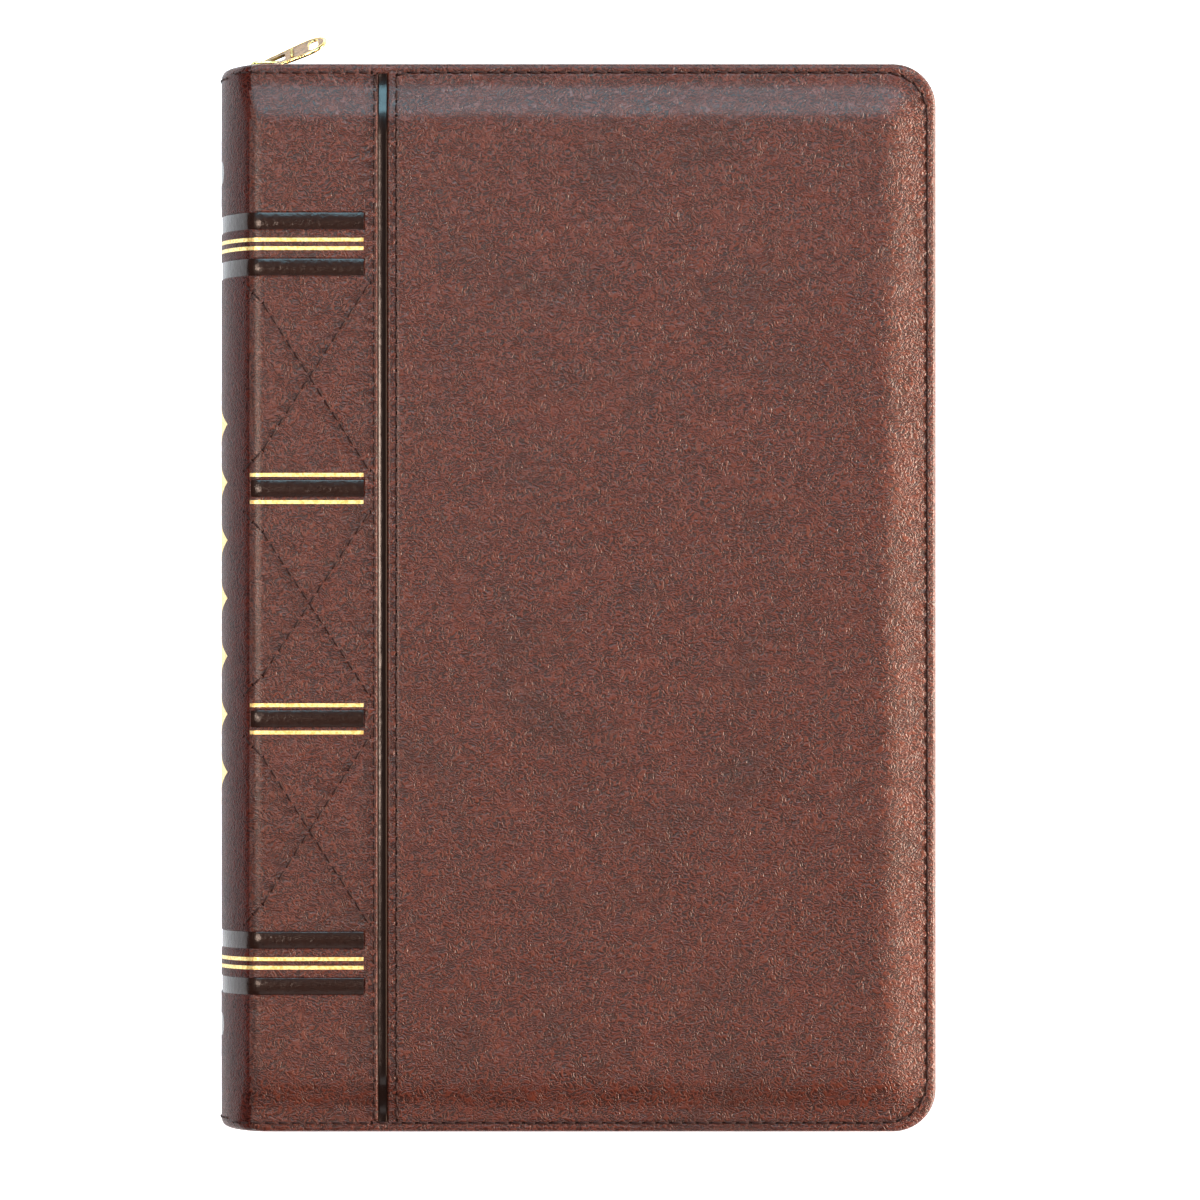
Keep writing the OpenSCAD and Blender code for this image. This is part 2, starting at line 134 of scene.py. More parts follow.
# The leaves.
BLOCK_X = (-65.95, 66.95)
BLOCK_Y = 101.5
BLOCK_CORNER_R = 6.0
BLOCK_HOLLOW = 3.6

# The zip.
ZIP_X = FORE_X - 4
ZIP_Y = HALF_H - 4
ZIP_R = 4.8
ZIP_START_X = -66.35
TEETH_START_X = -58.7
TOOTH_PITCH = 2.4
SLIDER_NOSE_X = -69.5
SLIDER_LEN = 10.0
TAB_PIVOT = (-66.9, 110.2, 19.0)

# The pull tab, in millimetres and degrees. The axis of its pivot leans towards the tail.
TAB_LEN = 15.4
TAB_TIP_R = 3.6
TAB_ROOT_W = 4.8
TAB_LEAN = 8
TAB_SWING = 23
PIVOT_LEAN = 17
BEAD_ROW_U = 8.0

# A mark on a curve needs finer points as it widens.
DOT_FINENESS = 4
LOZENGE_FINENESS = 14

random = np.random.default_rng(7)


# ---------- Shapes ----------


def rise(share):
    """Height of the padding along its slope, from 0 at the sewn rim to 1 on the flat."""
    t = np.clip(share, 0, 1)
    return t**3 * (10 - 15 * t + 6 * t**2)


def edge_roll(distance, radius):
    """How far a rounded edge drops, at a distance in from it."""
    left = np.clip(radius - distance, 0, radius)
    return radius - np.sqrt(radius**2 - left**2)


def smooth(value, low, high):
    """0 below low and 1 above high, with a smooth change between them."""
    t = np.clip((value - low) / (high - low), 0, 1)
    return t * t * (3 - 2 * t)


def top_z(x, y):
    """Height of the front cover's padded face."""
    end_drop = 1 - rise((HALF_H - np.abs(y) - RIM_W) / SLOPE_ENDS)
    fore_drop = rise((x - SLOPE_FORE_X) / SLOPE_FORE)
    slack = 0.07 * np.sin(0.19 * x + 0.11 * y) + 0.05 * np.sin(0.13 * x - 0.17 * y + 1.3)
    fade = smooth(x, -60, -45) * (1 - end_drop) * (1 - fore_drop)
    drop = PILLOW_DROP * end_drop + FORE_DROP * fore_drop * (1 - 0.75 * end_drop)
    return THICK - drop - 0.5 * (0.12 + slack) * fade


def hinge_point(y, q, depth):
    """Leather beside the spine: q is 0 at the seam, 1 at the ridge, 2 beyond it and 3 down on the spine."""
    y, q, depth = np.broadcast_arrays(np.asarray(y, float), q, depth)
    top = top_z(-66.0, y)
    reach = SPINE_R - edge_roll(HALF_H - np.abs(y), SPINE_END_R)
    ridge_z = top - RIDGE_R
    ridge_x = SPINE_CX - np.sqrt((reach - RIDGE_R) ** 2 - (ridge_z - MID_Z) ** 2)
    ridge_angle = np.arctan2(ridge_z - MID_Z, SPINE_CX - ridge_x)
    plane_x = SEAM_X + (ridge_x - SEAM_X) * np.clip(q, 0, 1)
    turn = math.pi / 2 + (ridge_angle - math.pi / 2) * np.clip(q - 1, 0, 1)
    swing = ridge_angle + (JOIN_ANGLE - ridge_angle) * np.clip(q - 2, 0, 1)
    flat = (plane_x, y, top_z(plane_x, y) - depth)
    ridge = (ridge_x - (RIDGE_R - depth) * np.cos(turn), y, ridge_z + (RIDGE_R - depth) * np.sin(turn))
    spine = (SPINE_CX - (reach - depth) * np.cos(swing), y, MID_Z + (reach - depth) * np.sin(swing))
    runs = zip(flat, ridge, spine)
    return np.stack([np.where(q < 1, a, np.where(q < 2, b, c)) for a, b, c in runs], axis=-1)


def spine_point(y, angle, depth):
    """Leather of the rounded spine, at an angle above its middle."""
    y, angle, depth = np.broadcast_arrays(np.asarray(y, float), angle, depth)
    reach = SPINE_R - edge_roll(HALF_H - np.abs(y), SPINE_END_R) - depth
    x = SPINE_CX - reach * np.cos(angle)
    return np.stack([x, y, MID_Z + reach * np.sin(angle)], axis=-1)


def q_at(x):
    """The hinge leather's q, on its flat, at an X."""
    flat_end = hinge_point(0.0, 1.0, 0.0)[0]
    return (SEAM_X - x) / (SEAM_X - flat_end)


def stitch_dip(distance):
    """How far a line of stitches pulls the leather in, at a distance from it."""
    return STITCH_DIP * np.exp(-((distance / STITCH_DIP_W) ** 2))


def pressed(y, q):
    """Depth of the grooves that the dark bands lie in."""
    start = q_at(BAND_END_X)
    from_start = smooth(q, start - 0.006, start + 0.006)
    depth = np.zeros(np.broadcast(y, q).shape)
    for centre in OUTER_BANDS + INNER_BANDS:
        inside = 1 - smooth(np.abs(y - centre), BAND_W / 2 - 0.05, BAND_W / 2 + 0.2)
        stop = 1.0 if centre in OUTER_BANDS else 1 - smooth(q, 1.5, 1.7)
        depth = np.maximum(depth, BAND_DEPTH * inside * from_start * stop)
    return depth


def leather_rows():
    """Places along Y of the rows of points of the leather beside the spine."""
    edges = [HALF_H - d for d in (0, 0.03, 0.12, 0.3, 0.55, 0.9)]
    slopes = list(np.arange(100.5, 109.0, 0.5))
    grooves = [c + s * w for c in OUTER_BANDS + INNER_BANDS for s in (-1, 1) for w in (1.68, 1.82, 1.97)]
    middle = [y for y in np.arange(-99.5, 100, 1.0) if all(abs(y - g) > 0.3 for g in grooves)]
    return np.array(sorted([s * y for y in edges + slopes for s in (-1, 1)] + grooves + middle))


def resample(points, pitch, normals=None):
    """Points about a pitch apart along a line of points, and the normals there."""
    steps = np.linalg.norm(np.diff(points, axis=0), axis=1)
    length = np.concatenate([[0], np.cumsum(steps)])
    count = max(2, int(round(length[-1] / pitch)) + 1)
    at = np.linspace(0, length[-1], count)
    picked = np.stack([np.interp(at, length, points[:, k]) for k in range(3)], axis=1)
    if normals is None:
        return picked
    turned = np.stack([np.interp(at, length, normals[:, k]) for k in range(3)], axis=1)
    return picked, unit(turned)


def unit(vectors):
    """The same directions, one long."""
    return vectors / np.linalg.norm(vectors, axis=1)[:, None]


def circle(sides):
    """Angles all round a circle."""
    return np.linspace(0, 2 * math.pi, sides, endpoint=False)


def quarter(x, y, radius, start, count):
    """Points along a quarter circle, from a number of quarter turns past +X."""
    turn = (start + np.linspace(0, 1, count)) * math.pi / 2
    return [(x + radius * math.cos(a), y + radius * math.sin(a)) for a in turn]


def spread(*coordinates):
    """A grid of points from coordinates that each cover a row, a column or the whole grid."""
    return np.stack(np.broadcast_arrays(*coordinates), axis=-1)


def mirrored(points):
    """The same points on the back cover."""
    return points * [1, 1, -1] + [0, 0, THICK]


# ---------- Meshes ----------


class Parts:
    """Points and faces gathered into one mesh."""

    def __init__(self):
        self.points = []
        self.faces = []
        self.finishes = []
        self.count = 0

    def add(self, points, faces, finish=0):
        points = np.asarray(points, float).reshape(-1, 3)
        self.faces += [[i + self.count for i in face] for face in faces]
        self.finishes += [finish] * len(faces)
        self.points.append(points)
        self.count += len(points)

    def mirror(self):
        self.points = [mirrored(p) for p in self.points]


def grid_faces(rows, cols, loop_rows=False, loop_cols=False):
    """Quads between neighbouring points of a grid, closed on itself where asked."""
    return [
        [
            r * cols + c,
            r * cols + (c + 1) % cols,
            (r + 1) % rows * cols + (c + 1) % cols,
            (r + 1) % rows * cols + c,
        ]
        for r in range(rows if loop_rows else rows - 1)
        for c in range(cols if loop_cols else cols - 1)
    ]


def tube(parts, rings, finish=0):
    """A closed tube through rings of points."""
    rings = np.array(rings)
    count, sides = rings.shape[:2]
    faces = grid_faces(count, sides, loop_cols=True)
    faces.append(list(range(sides))[::-1])
    faces.append([(count - 1) * sides + k for k in range(sides)])
    parts.add(rings, faces, finish)


def slab(parts, outer, inner, finish=0):
    """A closed slab between two grids of points of the same size."""
    rows, cols = outer.shape[:2]
    half = rows * cols
    faces = grid_faces(rows, cols)
    faces += [[i + half for i in face[::-1]] for face in grid_faces(rows, cols)]
    rim = list(range(cols))
    rim += [r * cols + cols - 1 for r in range(1, rows)]
    rim += [(rows - 1) * cols + c for c in range(cols - 2, -1, -1)]
    rim += [r * cols for r in range(rows - 2, 0, -1)]
    faces += [[b, a, a + half, b + half] for a, b in zip(rim, rim[1:] + rim[:1])]
    parts.add(np.concatenate([outer.reshape(-1, 3), inner.reshape(-1, 3)]), faces, finish)


def make_object(name, parts, materials, slot, weld=False, sharp=40):
    """An object from parts in millimetres. Its points at rest are kept for its textures."""
    mesh = bpy.data.meshes.new(name)
    mesh.from_pydata((np.concatenate(parts.points) * MM).tolist(), [], parts.faces)
    mesh.polygons.foreach_set("material_index", parts.finishes)
    for material in materials:
        mesh.materials.append(material)
    work = bmesh.new()
    work.from_mesh(mesh)
    if weld:
        bmesh.ops.remove_doubles(work, verts=work.verts, dist=1e-7)
    bmesh.ops.recalc_face_normals(work, faces=work.faces)
    limit = math.radians(sharp)
    for edge in work.edges:
        edge.smooth = len(edge.link_faces) == 2 and edge.calc_face_angle(0) < limit
    for face in work.faces:
        face.smooth = True
    work.to_mesh(mesh)
    work.free()
    at_rest = np.array([v.co for v in mesh.vertices], np.float32) / MM
    rest = mesh.attributes.new("rest", "FLOAT_VECTOR", "POINT")
    rest.data.foreach_set("vector", at_rest.ravel())
    obj = bpy.data.objects.new(name, mesh)
    bpy.context.scene.collection.objects.link(obj)
    return obj


def follow_crease(obj):
    """Bakes the transform of a piece of leather between the spine and a cover into its mesh."""
    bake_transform(obj)


def bend_leaves(obj):
    """Bakes the transform of the leaves, or what lies on them, into the mesh."""
    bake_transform(obj)


def cover_body(front):
    return "front_cover" if front else "back_cover"


def side_name(front):
    return "front" if front else "back"


def cover_piece(front, node, ending, parts, materials, slot, drawn_for_front=True, **looks):
    """An object for a node of one cover, mirrored where its parts were drawn for the other one."""
    if front != drawn_for_front:
        parts.mirror()
    name = side_name(front) + node
    obj = make_object(name + ending, parts, materials, slot, **looks)
    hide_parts(name)
    return obj


# ---------- Materials ----------


def colour(red, green, blue):
    """A linear colour from screen values of 0 to 255."""
    shares = [v / 255 for v in (red, green, blue)]
    linear = [v / 12.92 if v <= 10 / 255 else ((v + 0.055) / 1.055) ** 2.4 for v in shares]
    return (*linear, 1.0)


class Shader:
    """One node material, built a node at a time. place is the point at rest, in millimetres."""

    def __init__(self, name, own_mesh=True, **values):
        self.material = bpy.data.materials.new(name)
        self.material.use_nodes = True
        self.tree = self.material.node_tree
        self.surface = self.tree.nodes["Principled BSDF"]
        for key, value in values.items():
            self.surface.inputs[key.replace("_", " ")].default_value = value
        if own_mesh:
            self.place = self.node("Attribute", attribute_name="rest").outputs["Vector"]
        else:
            at = self.node("TexCoord").outputs["Object"]
            self.place = self.vector("SCALE", at, scale=1 / MM)

    def node(self, kind, inputs=None, **settings):
        made = self.tree.nodes.new("ShaderNode" + kind)
        for key, value in settings.items():
            setattr(made, key, value)
        for key, value in (inputs or {}).items():
            self.feed(made.inputs[key], value)
        return made

    def feed(self, socket, value):
        if isinstance(value, bpy.types.NodeSocket):
            self.tree.links.new(value, socket)
        else:
            socket.default_value = value

    def vector(self, operation, first, second=(0, 0, 0), scale=1.0):
        made = self.node("VectorMath", {0: first, 1: second}, operation=operation)
        if operation == "SCALE":
            made.inputs[3].default_value = scale
        return made.outputs[0]

    def math(self, operation, first, second=0.0):
        return self.node("Math", {0: first, 1: second}, operation=operation).outputs[0]

    def noise(self, scale, detail=3.0, place=None, roughness=0.5, what="Fac"):
        made = self.node(
            "TexNoise",
            {"Vector": place or self.place, "Scale": scale, "Detail": detail, "Roughness": roughness},
        )
        return made.outputs[what]

    def step(self, value, low, high, start=0.0, end=1.0):
        made = self.node(
            "MapRange",
            {"Value": value, "From Min": low, "From Max": high, "To Min": start, "To Max": end},
            interpolation_type="SMOOTHSTEP",
        )
        return made.outputs["Result"]

    def mix(self, share, first, second, blend="MIX"):
        made = self.node("Mix", data_type="RGBA", blend_type=blend)
        self.feed(made.inputs[0], share)
        self.feed(made.inputs[6], first)
        self.feed(made.inputs[7], second)
        return made.outputs[2]

    def set(self, name, value):
        self.feed(self.surface.inputs[name], value)

    def bump(self, height, distance, below=None):
        made = self.node("Bump", {"Height": height, "Distance": distance * MM, "Strength": 1.0})
        if below is not None:
            self.feed(made.inputs["Normal"], below)
        return made.outputs["Normal"]


def leather_material(name, shine, coat, tint):
    """Mottled mahogany leather: small dark pits in a fine net of raised, redder ridges."""
    s = Shader(name, Specular_IOR_Level=shine, Coat_Weight=coat, Coat_Roughness=0.26)
    wander = s.noise(0.3, 3, what="Color")
    swirl = s.vector("SCALE", s.vector("SUBTRACT", wander, (0.5, 0.5, 0.5)), scale=4.0)
    warped = s.vector("ADD", s.place, swirl)
    stretched = s.vector("MULTIPLY", warped, (0.8, 1.25, 1.0))
    pits = s.node("TexVoronoi", {"Vector": stretched, "Scale": 2.0, "Randomness": 0.9})
    ridge = s.step(pits.outputs["Distance"], 0.22, 0.82)
    fine = s.noise(1.9, 3, stretched, 0.6)
    patches = s.noise(0.05, 6, warped, 0.6)
    clouds = s.noise(0.2, 5, warped, 0.62)
    vein_noise = s.noise(0.16, 6, warped, 0.66)
    vein_line = s.math("ABSOLUTE", s.math("SUBTRACT", vein_noise, 0.5))
    veins = s.math("MULTIPLY", s.step(vein_line, 0.0, 0.03, 1.0, 0.0), s.step(clouds, 0.4, 0.6))
    relief = s.math("ADD", s.math("MULTIPLY", ridge, 0.55), s.math("MULTIPLY", fine, 0.45))
    grain = s.mix(s.step(relief, 0.22, 0.72), colour(60, 22, 13), colour(126, 62, 45))
    red = s.mix(s.math("MULTIPLY", s.step(clouds, 0.48, 0.7), 0.45), grain, colour(112, 44, 27))
    grey = s.mix(s.math("MULTIPLY", s.step(patches, 0.5, 0.66), 0.35), red, colour(62, 32, 25))
    lined = s.mix(s.math("MULTIPLY", veins, 0.5), grey, colour(148, 76, 52))
    # tint scales the whole colour; the spine's copy uses a darker tint as painted shade.
    s.set("Base Color", s.mix(1.0, lined, tint, "MULTIPLY"))
    s.set("Roughness", s.step(relief, 0.2, 0.8, 0.39, 0.34))
    coarse = s.bump(s.noise(0.6, 3, warped), 0.14)
    s.set("Normal", s.bump(relief, 0.2, coarse))
    return s.material


def plain_leather_material(name, base, rough):
    """Leather that shows little of its grain, as on a pressed or a cut face."""
    s = Shader(name, Roughness=rough, Specular_IOR_Level=0.5)
    fine = s.noise(1.6, 4)
    s.set("Base Color", s.mix(s.step(fine, 0.35, 0.65), [c * 0.7 for c in base[:3]] + [1], base))
    s.set("Normal", s.bump(fine, 0.06))
    return s.material


def mottled_material(name, dark, light, grain, relief, depth, rough, shine, own_mesh=True):
    """A material between two colours. grain and relief are the scale and detail of two noises."""
    s = Shader(name, own_mesh, Roughness=rough, Specular_IOR_Level=shine)
    s.set("Base Color", s.mix(s.noise(*grain), dark, light))
    s.set("Normal", s.bump(s.noise(*relief), depth))
    return s.material


def gloss_material():
    """The near-black gloss of the pressed bands."""
    dark, light = colour(26, 12, 9), colour(44, 24, 18)
    return mottled_material("pressed_gloss", dark, light, (1.3, 4), (0.9, 3), 0.08, 0.23, 0.3)


def piping_material():
    dark, light = colour(18, 8, 6), colour(32, 17, 13)
    return mottled_material("gloss_piping", dark, light, (0.5, 2), (0.4, 2), 0.05, 0.2, 0.35)


def foil_material():
    """Gold foil pressed on leather, whose grain shows through it."""
    s = Shader("gold_foil", Metallic=0.55, Roughness=0.38, Specular_IOR_Level=0.5)
    worn = s.step(s.noise(1.8, 4), 0.35, 0.6)
    s.set("Base Color", s.mix(worn, colour(228, 182, 100), colour(255, 228, 156)))
    s.set("Normal", s.bump(s.noise(1.6, 3), 0.05))
    return s.material


def thread_material():
    dark, light = colour(28, 12, 10), colour(56, 25, 20)
    return mottled_material("thread", dark, light, (5.0, 2), (5.0, 2), 0.04, 0.7, 0.25)


# Near-black for the needle holes: painted shade of their depth.
def hole_shade_material():
    s = Shader("needle_hole_shade", Roughness=0.9, Specular_IOR_Level=0.1)
    s.set("Base Color", s.mix(s.noise(3.0, 1), colour(18, 8, 6), colour(30, 14, 11)))
    return s.material


def paper_material():
    """Thin cream paper."""
    dark, light = colour(206, 196, 172), colour(220, 211, 189)
    return mottled_material("paper", dark, light, (0.4, 4), (1.5, 4), 0.02, 0.75, 0.3)


def gilt_material():
    """The gilt edges of the leaves, with the lines between them."""
    s = Shader("gilt_edges", Metallic=0.75, Roughness=0.34)
    thin = s.vector("MULTIPLY", s.place, (0.02, 0.02, 9.0))
    lines = s.noise(1.0, 3, thin)
    s.set("Base Color", s.mix(lines, colour(150, 110, 50), colour(232, 196, 116)))
    s.set("Normal", s.bump(lines, 0.06))
    return s.material


def woven_material(name, dark, light, pitch, own_mesh=True, rough=0.8):
    """Cloth, woven over and under at the given pitch."""
    s = Shader(name, own_mesh, Roughness=rough, Specular_IOR_Level=0.25, Sheen_Weight=0.2)
    split = s.node("SeparateXYZ", {0: s.place})
    along = s.math("ADD", split.outputs["X"], split.outputs["Y"])
    turn = 2 * math.pi / pitch
    warp = s.math("SINE", s.math("MULTIPLY", along, turn))
    weft = s.math("SINE", s.math("MULTIPLY", split.outputs["Z"], turn))
    weave = s.math("ADD", s.math("MULTIPLY", s.math("MULTIPLY", warp, weft), 0.5), 0.5)
    fuzz = s.noise(2.0, 3)
    share = s.math("ADD", s.math("MULTIPLY", weave, 0.7), s.math("MULTIPLY", fuzz, 0.3))
    s.set("Base Color", s.mix(share, dark, light))
    s.set("Normal", s.bump(weave, 0.08))
    return s.material


def metal_material(name, base, dark, rough, own_mesh=True):
    """Plated metal, with faint scratches and tarnish."""
    s = Shader(name, own_mesh, Metallic=1.0, Roughness=rough)
    tarnish = s.step(s.noise(0.7, 4), 0.4, 0.75)
    s.set("Base Color", s.mix(tarnish, base, dark))
    scratches = s.noise(1.0, 3, s.vector("MULTIPLY", s.place, (0.6, 6.0, 6.0)))
    s.set("Roughness", s.step(scratches, 0.3, 0.7, rough * 0.7, rough * 1.5))
    s.set("Normal", s.bump(scratches, 0.01))
    return s.material


def hidden_material(name, dark, light, scale, rough=0.85):
    """A matt, speckled finish for the parts inside the covers."""
    return mottled_material(name, dark, light, (scale, 4), (scale, 4), 0.1, rough, 0.2, own_mesh=False)


def striped_material():
    """Head and tail bands: gold and brown threads over a cord."""
    s = Shader("head_band", Roughness=0.6, Sheen_Weight=0.3)
    split = s.node("SeparateXYZ", {0: s.place})
    wave = s.math("SINE", s.math("MULTIPLY", split.outputs["Z"], 2 * math.pi / 1.4))
    s.set("Base Color", s.mix(s.step(wave, -0.2, 0.2), colour(96, 40, 28), colour(226, 190, 118)))
    s.set("Normal", s.bump(s.noise(3.0, 2), 0.05))
    return s.material


# ---------- Leather ----------

# The turned edge, as distance in from the edge and depth under the rim's surface.
TURNED = ((0, 1.4), (0, 2.0), (0.15, 2.35), (0.5, TURNED_DEPTH), (1.15, TURNED_DEPTH))


def turned_strip(parts, point, across, sunk, seam_roll):
    """A closed strip of leather between the head and the tail, turned in at both ends."""
    rows = leather_rows()
    outer_y = list(rows)
    outer_d = list(edge_roll(HALF_H - np.abs(rows), EDGE_R))
    inner_y = list(rows * (HALF_H - INNER_END) / HALF_H)
    inner_d = [LEATHER_T] * len(rows)
    for k, (inset, depth) in enumerate(TURNED, start=1):
        for side in (-1, 1):
            at = 0 if side < 0 else len(outer_y)
            outer_y.insert(at, side * (HALF_H - inset))
            outer_d.insert(at, depth)
            inner_y.insert(at, side * (HALF_H - INNER_END + 0.01 * k))
            inner_d.insert(at, LEATHER_T + 0.29 * k)
    outer_y, outer_d = np.array(outer_y)[:, None], np.array(outer_d)[:, None]
    inner_y, inner_d = np.array(inner_y)[:, None], np.array(inner_d)[:, None]
    across = across[None, :]
    depth = outer_d + sunk(outer_y, across) + seam_roll(across)
    slab(parts, point(outer_y, across, depth), point(inner_y, across, inner_d + 0 * across))


def hinge_columns():
    """The hinge leather's columns of points, close together at the seam, the bands and the ridge."""
    near_seam = [d / FLAT_W for d in (0, 0.06, 0.16, 0.3, 0.5)]
    start = q_at(BAND_END_X)
    flat = [q for q in np.linspace(0.04, 0.98, 30) if abs(q - start) > 0.012]
    band_start = [start + d for d in (-0.006, 0, 0.006)]
    round_spine = list(np.linspace(1, 2, 9)) + list(np.linspace(2.1, 3, 8))
    return np.array(sorted(near_seam + flat + band_start + round_spine))


def rim_over_piping(parts, side):
    """The turned rim that carries on across an end of the piping."""
    inset = np.array([2.2, 2.0, 1.7, 1.2, 0.9, 0.6, 0.3, 0.12, 0.03, 0.0, 0.0])[:, None]
    depth = np.array([0.7, 0.18, 0.03, 0.0, 0.0, 0.05, 0.23, 0.45, 0.68, 0.9, 2.0])[:, None]
    x = np.linspace(SEAM_X - 0.7, PANEL_X0 + 0.7, 5)[None, :]
    y = side * (HALF_H - inset)
    outer = spread(x, y, top_z(x, y) - depth + 0.02)
    inner = spread(x, side * np.minimum(HALF_H - inset, HALF_H - INNER_END), 0 * y)
    inner[..., 2] = outer[..., 2].min() + 0.2
    slab(parts, outer, inner)


def hinge_leather(front, finishes):
    """The leather beside the spine, with its pressed grooves, over the ridge and onto the spine."""
    parts = Parts()
    turned_strip(
        parts,
        hinge_point,
        hinge_columns(),
        lambda y, q: pressed(y, q) + stitch_dip((q - q_at(SEAM_STITCH_X[0])) * FLAT_W),
        lambda q: edge_roll(q * FLAT_W, 0.5),
    )
    for side in (-1, 1):
        rim_over_piping(parts, side)
    raw = np.array([0.0, -0.008])[None, :]
    y = leather_rows()[6:-6, None]
    edge_x = SEAM_X - FLAT_W * raw
    outer = spread(edge_x, y, top_z(edge_x, y) - 0.42)
    slab(parts, outer, outer - [0, 0, 0.5], finish=1)
    looks = [finishes[key] for key in ("leather", "raw_edge", "spine_painted_shade")]
    obj = cover_piece(front, "_hinge_leather", "_skin", parts, looks, "leather")
    # Faces past that X take the darker copy of the leather: painted shade on the spine's side.
    for face in obj.data.polygons:
        if face.center.x < SPINE_SHADE_X * MM:
            face.material_index = 2
    follow_crease(obj)


def spine_leather(finishes):
    parts = Parts()
    turned_strip(
        parts,
        spine_point,
        np.linspace(JOIN_ANGLE, -JOIN_ANGLE, 31),
        lambda y, a: pressed(y, np.full_like(a, 2.5)) * outer_rows(y),
        lambda a: 0 * a,
    )
    # The spine's leather is the darker copy too: painted shade.
    obj = make_object("spine_leather_skin", parts, [finishes["spine_painted_shade"]], "leather")
    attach(obj, "spine")
    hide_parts("spine_leather")


def outer_rows(y):
    """1 at the band groups that cross the spine, 0 elsewhere."""
    return np.abs(np.abs(y - PATTERN_Y) - OUTER_Y) < 8


def panel_outline():
    """Points round the padded panel, and the points of its middle line that they shrink towards."""
    small = 0.8
    x0, x1 = PANEL_X0, FORE_X
    flat_y = np.linspace(-HALF_H + CORNER_R, HALF_H - CORNER_R, 150)
    end_x = np.linspace(x0 + small, x1 - CORNER_R, 80)
    near_y = np.linspace(HALF_H - CORNER_R, HALF_H - small, 6)[1:-1]
    corner_x, corner_y = x1 - CORNER_R, HALF_H - CORNER_R
    near_x, near_end = x0 + small, HALF_H - small
    points = [(x, -HALF_H) for x in end_x]
    points += quarter(corner_x, -corner_y, CORNER_R, -1, 14)[1:-1]
    points += [(x1, y) for y in flat_y]
    points += quarter(corner_x, corner_y, CORNER_R, 0, 14)[1:-1]
    points += [(x, HALF_H) for x in end_x[::-1]]
    points += quarter(near_x, near_end, small, 1, 5)[1:-1]
    points += [(x0, y) for y in [near_end, *near_y[::-1], *flat_y[::-1], *-near_y, -near_end]]
    points += quarter(near_x, -near_end, small, 2, 5)[1:-1]
    points = np.array(points)
    half_w = (x1 - x0) / 2
    core_y = np.clip(points[:, 1], half_w - HALF_H, HALF_H - half_w)
    core = np.column_stack([np.full(len(points), (x0 + x1) / 2), core_y])
    return points, core, half_w


def panel_leather(front, finishes):
    """The padded panel, from its middle out to the turned edge and back inside."""
    outline, core, half_w = panel_outline()
    seam_side = smooth(outline[:, 0], PANEL_X0 + 0.3, PANEL_X0 + 0.8)

    def ring(inset, depth):
        share = inset / half_w
        xy = outline * (1 - share) + core * share
        return np.column_stack([xy, top_z(xy[:, 0], xy[:, 1]) - depth])

    insets = [*np.linspace(half_w, 18, 30), *np.linspace(17.4, 3.4, 27), *np.linspace(3.0, 1.0, 9)]
    outer = [ring(d, stitch_dip(d - BORDER_IN)) for d in insets]
    roll_r = 0.45 + (EDGE_R - 0.45) * seam_side
    outer += [ring(d, edge_roll(d, roll_r)) for d in (0.85, 0.6, 0.4, 0.22, 0.1, 0.03, 0)]
    deep = 1.0 + (top_z(outline[:, 0], outline[:, 1]) - TURNED_Z - 1.0) * seam_side
    for inset, depth in TURNED:
        outer.append(ring(inset, roll_r + (deep - roll_r) * (depth - EDGE_R) / (TURNED_DEPTH - EDGE_R)))
    inner = [ring(d, LEATHER_T) for d in (half_w, 36, 22, 15, 12, 9, 7, 5, 3.2, 2.0)]
    inner += [ring(1.3, LEATHER_T), ring(1.25, 0.5 * LEATHER_T + 0.5 * deep)]
    grid = np.array(outer + inner[::-1])
    parts = Parts()
    parts.add(grid, grid_faces(len(grid), len(outline), loop_cols=True))
    if not front:
        parts.mirror()
    obj = make_object(side_name(front) + "_panel_skin", parts, [finishes["leather"]], "leather", weld=True)
    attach(obj, cover_body(front))
    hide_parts(side_name(front) + "_leather")


def piping(front, finishes):
    """The glossy strip in the seam, rounded and a little below the leather."""
    end = HALF_H - 0.4
    slope = np.linspace(100, end - 0.3, 20)
    ys = [-end, *-slope[::-1], *np.linspace(-98, 98, 80), *slope, end]
    angles = np.linspace(0, math.pi, 9)
    x = [PIPING_X + PIPING_W / 2 * 1.22 * math.cos(a) for a in angles]
    lift = [0.18 * math.sin(a) for a in angles]
    rings = []
    for y in ys:
        pinch = 0.6 if abs(y) == end else 1.0
        z = float(top_z(PIPING_X, y)) - 0.45
        top = [(px, y, z + up * pinch) for px, up in zip(x, lift)]
        rings.append(top + [(x[-1] - 0.2, y, z - 0.3), (x[0] + 0.2, y, z - 0.3)])
    parts = Parts()
    tube(parts, rings)
    obj = cover_piece(front, "_piping", "_strip", parts, [finishes["piping"]], "gloss_piping")
    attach(obj, cover_body(front))


def strip(parts, point, y, width, across, depth, thick):
    """A thin strip along the leather, laid a depth under its face."""
    ys = y + width * np.array([-0.5, -0.44, 0, 0.44, 0.5])[:, None]
    dip = np.array([0.6, 0, 0, 0, 0.6])[:, None] * thick
    outer = point(ys, across[None, :], depth + dip)
    slab(parts, outer, point(ys, across[None, :], np.full((5, 1), depth + thick)))


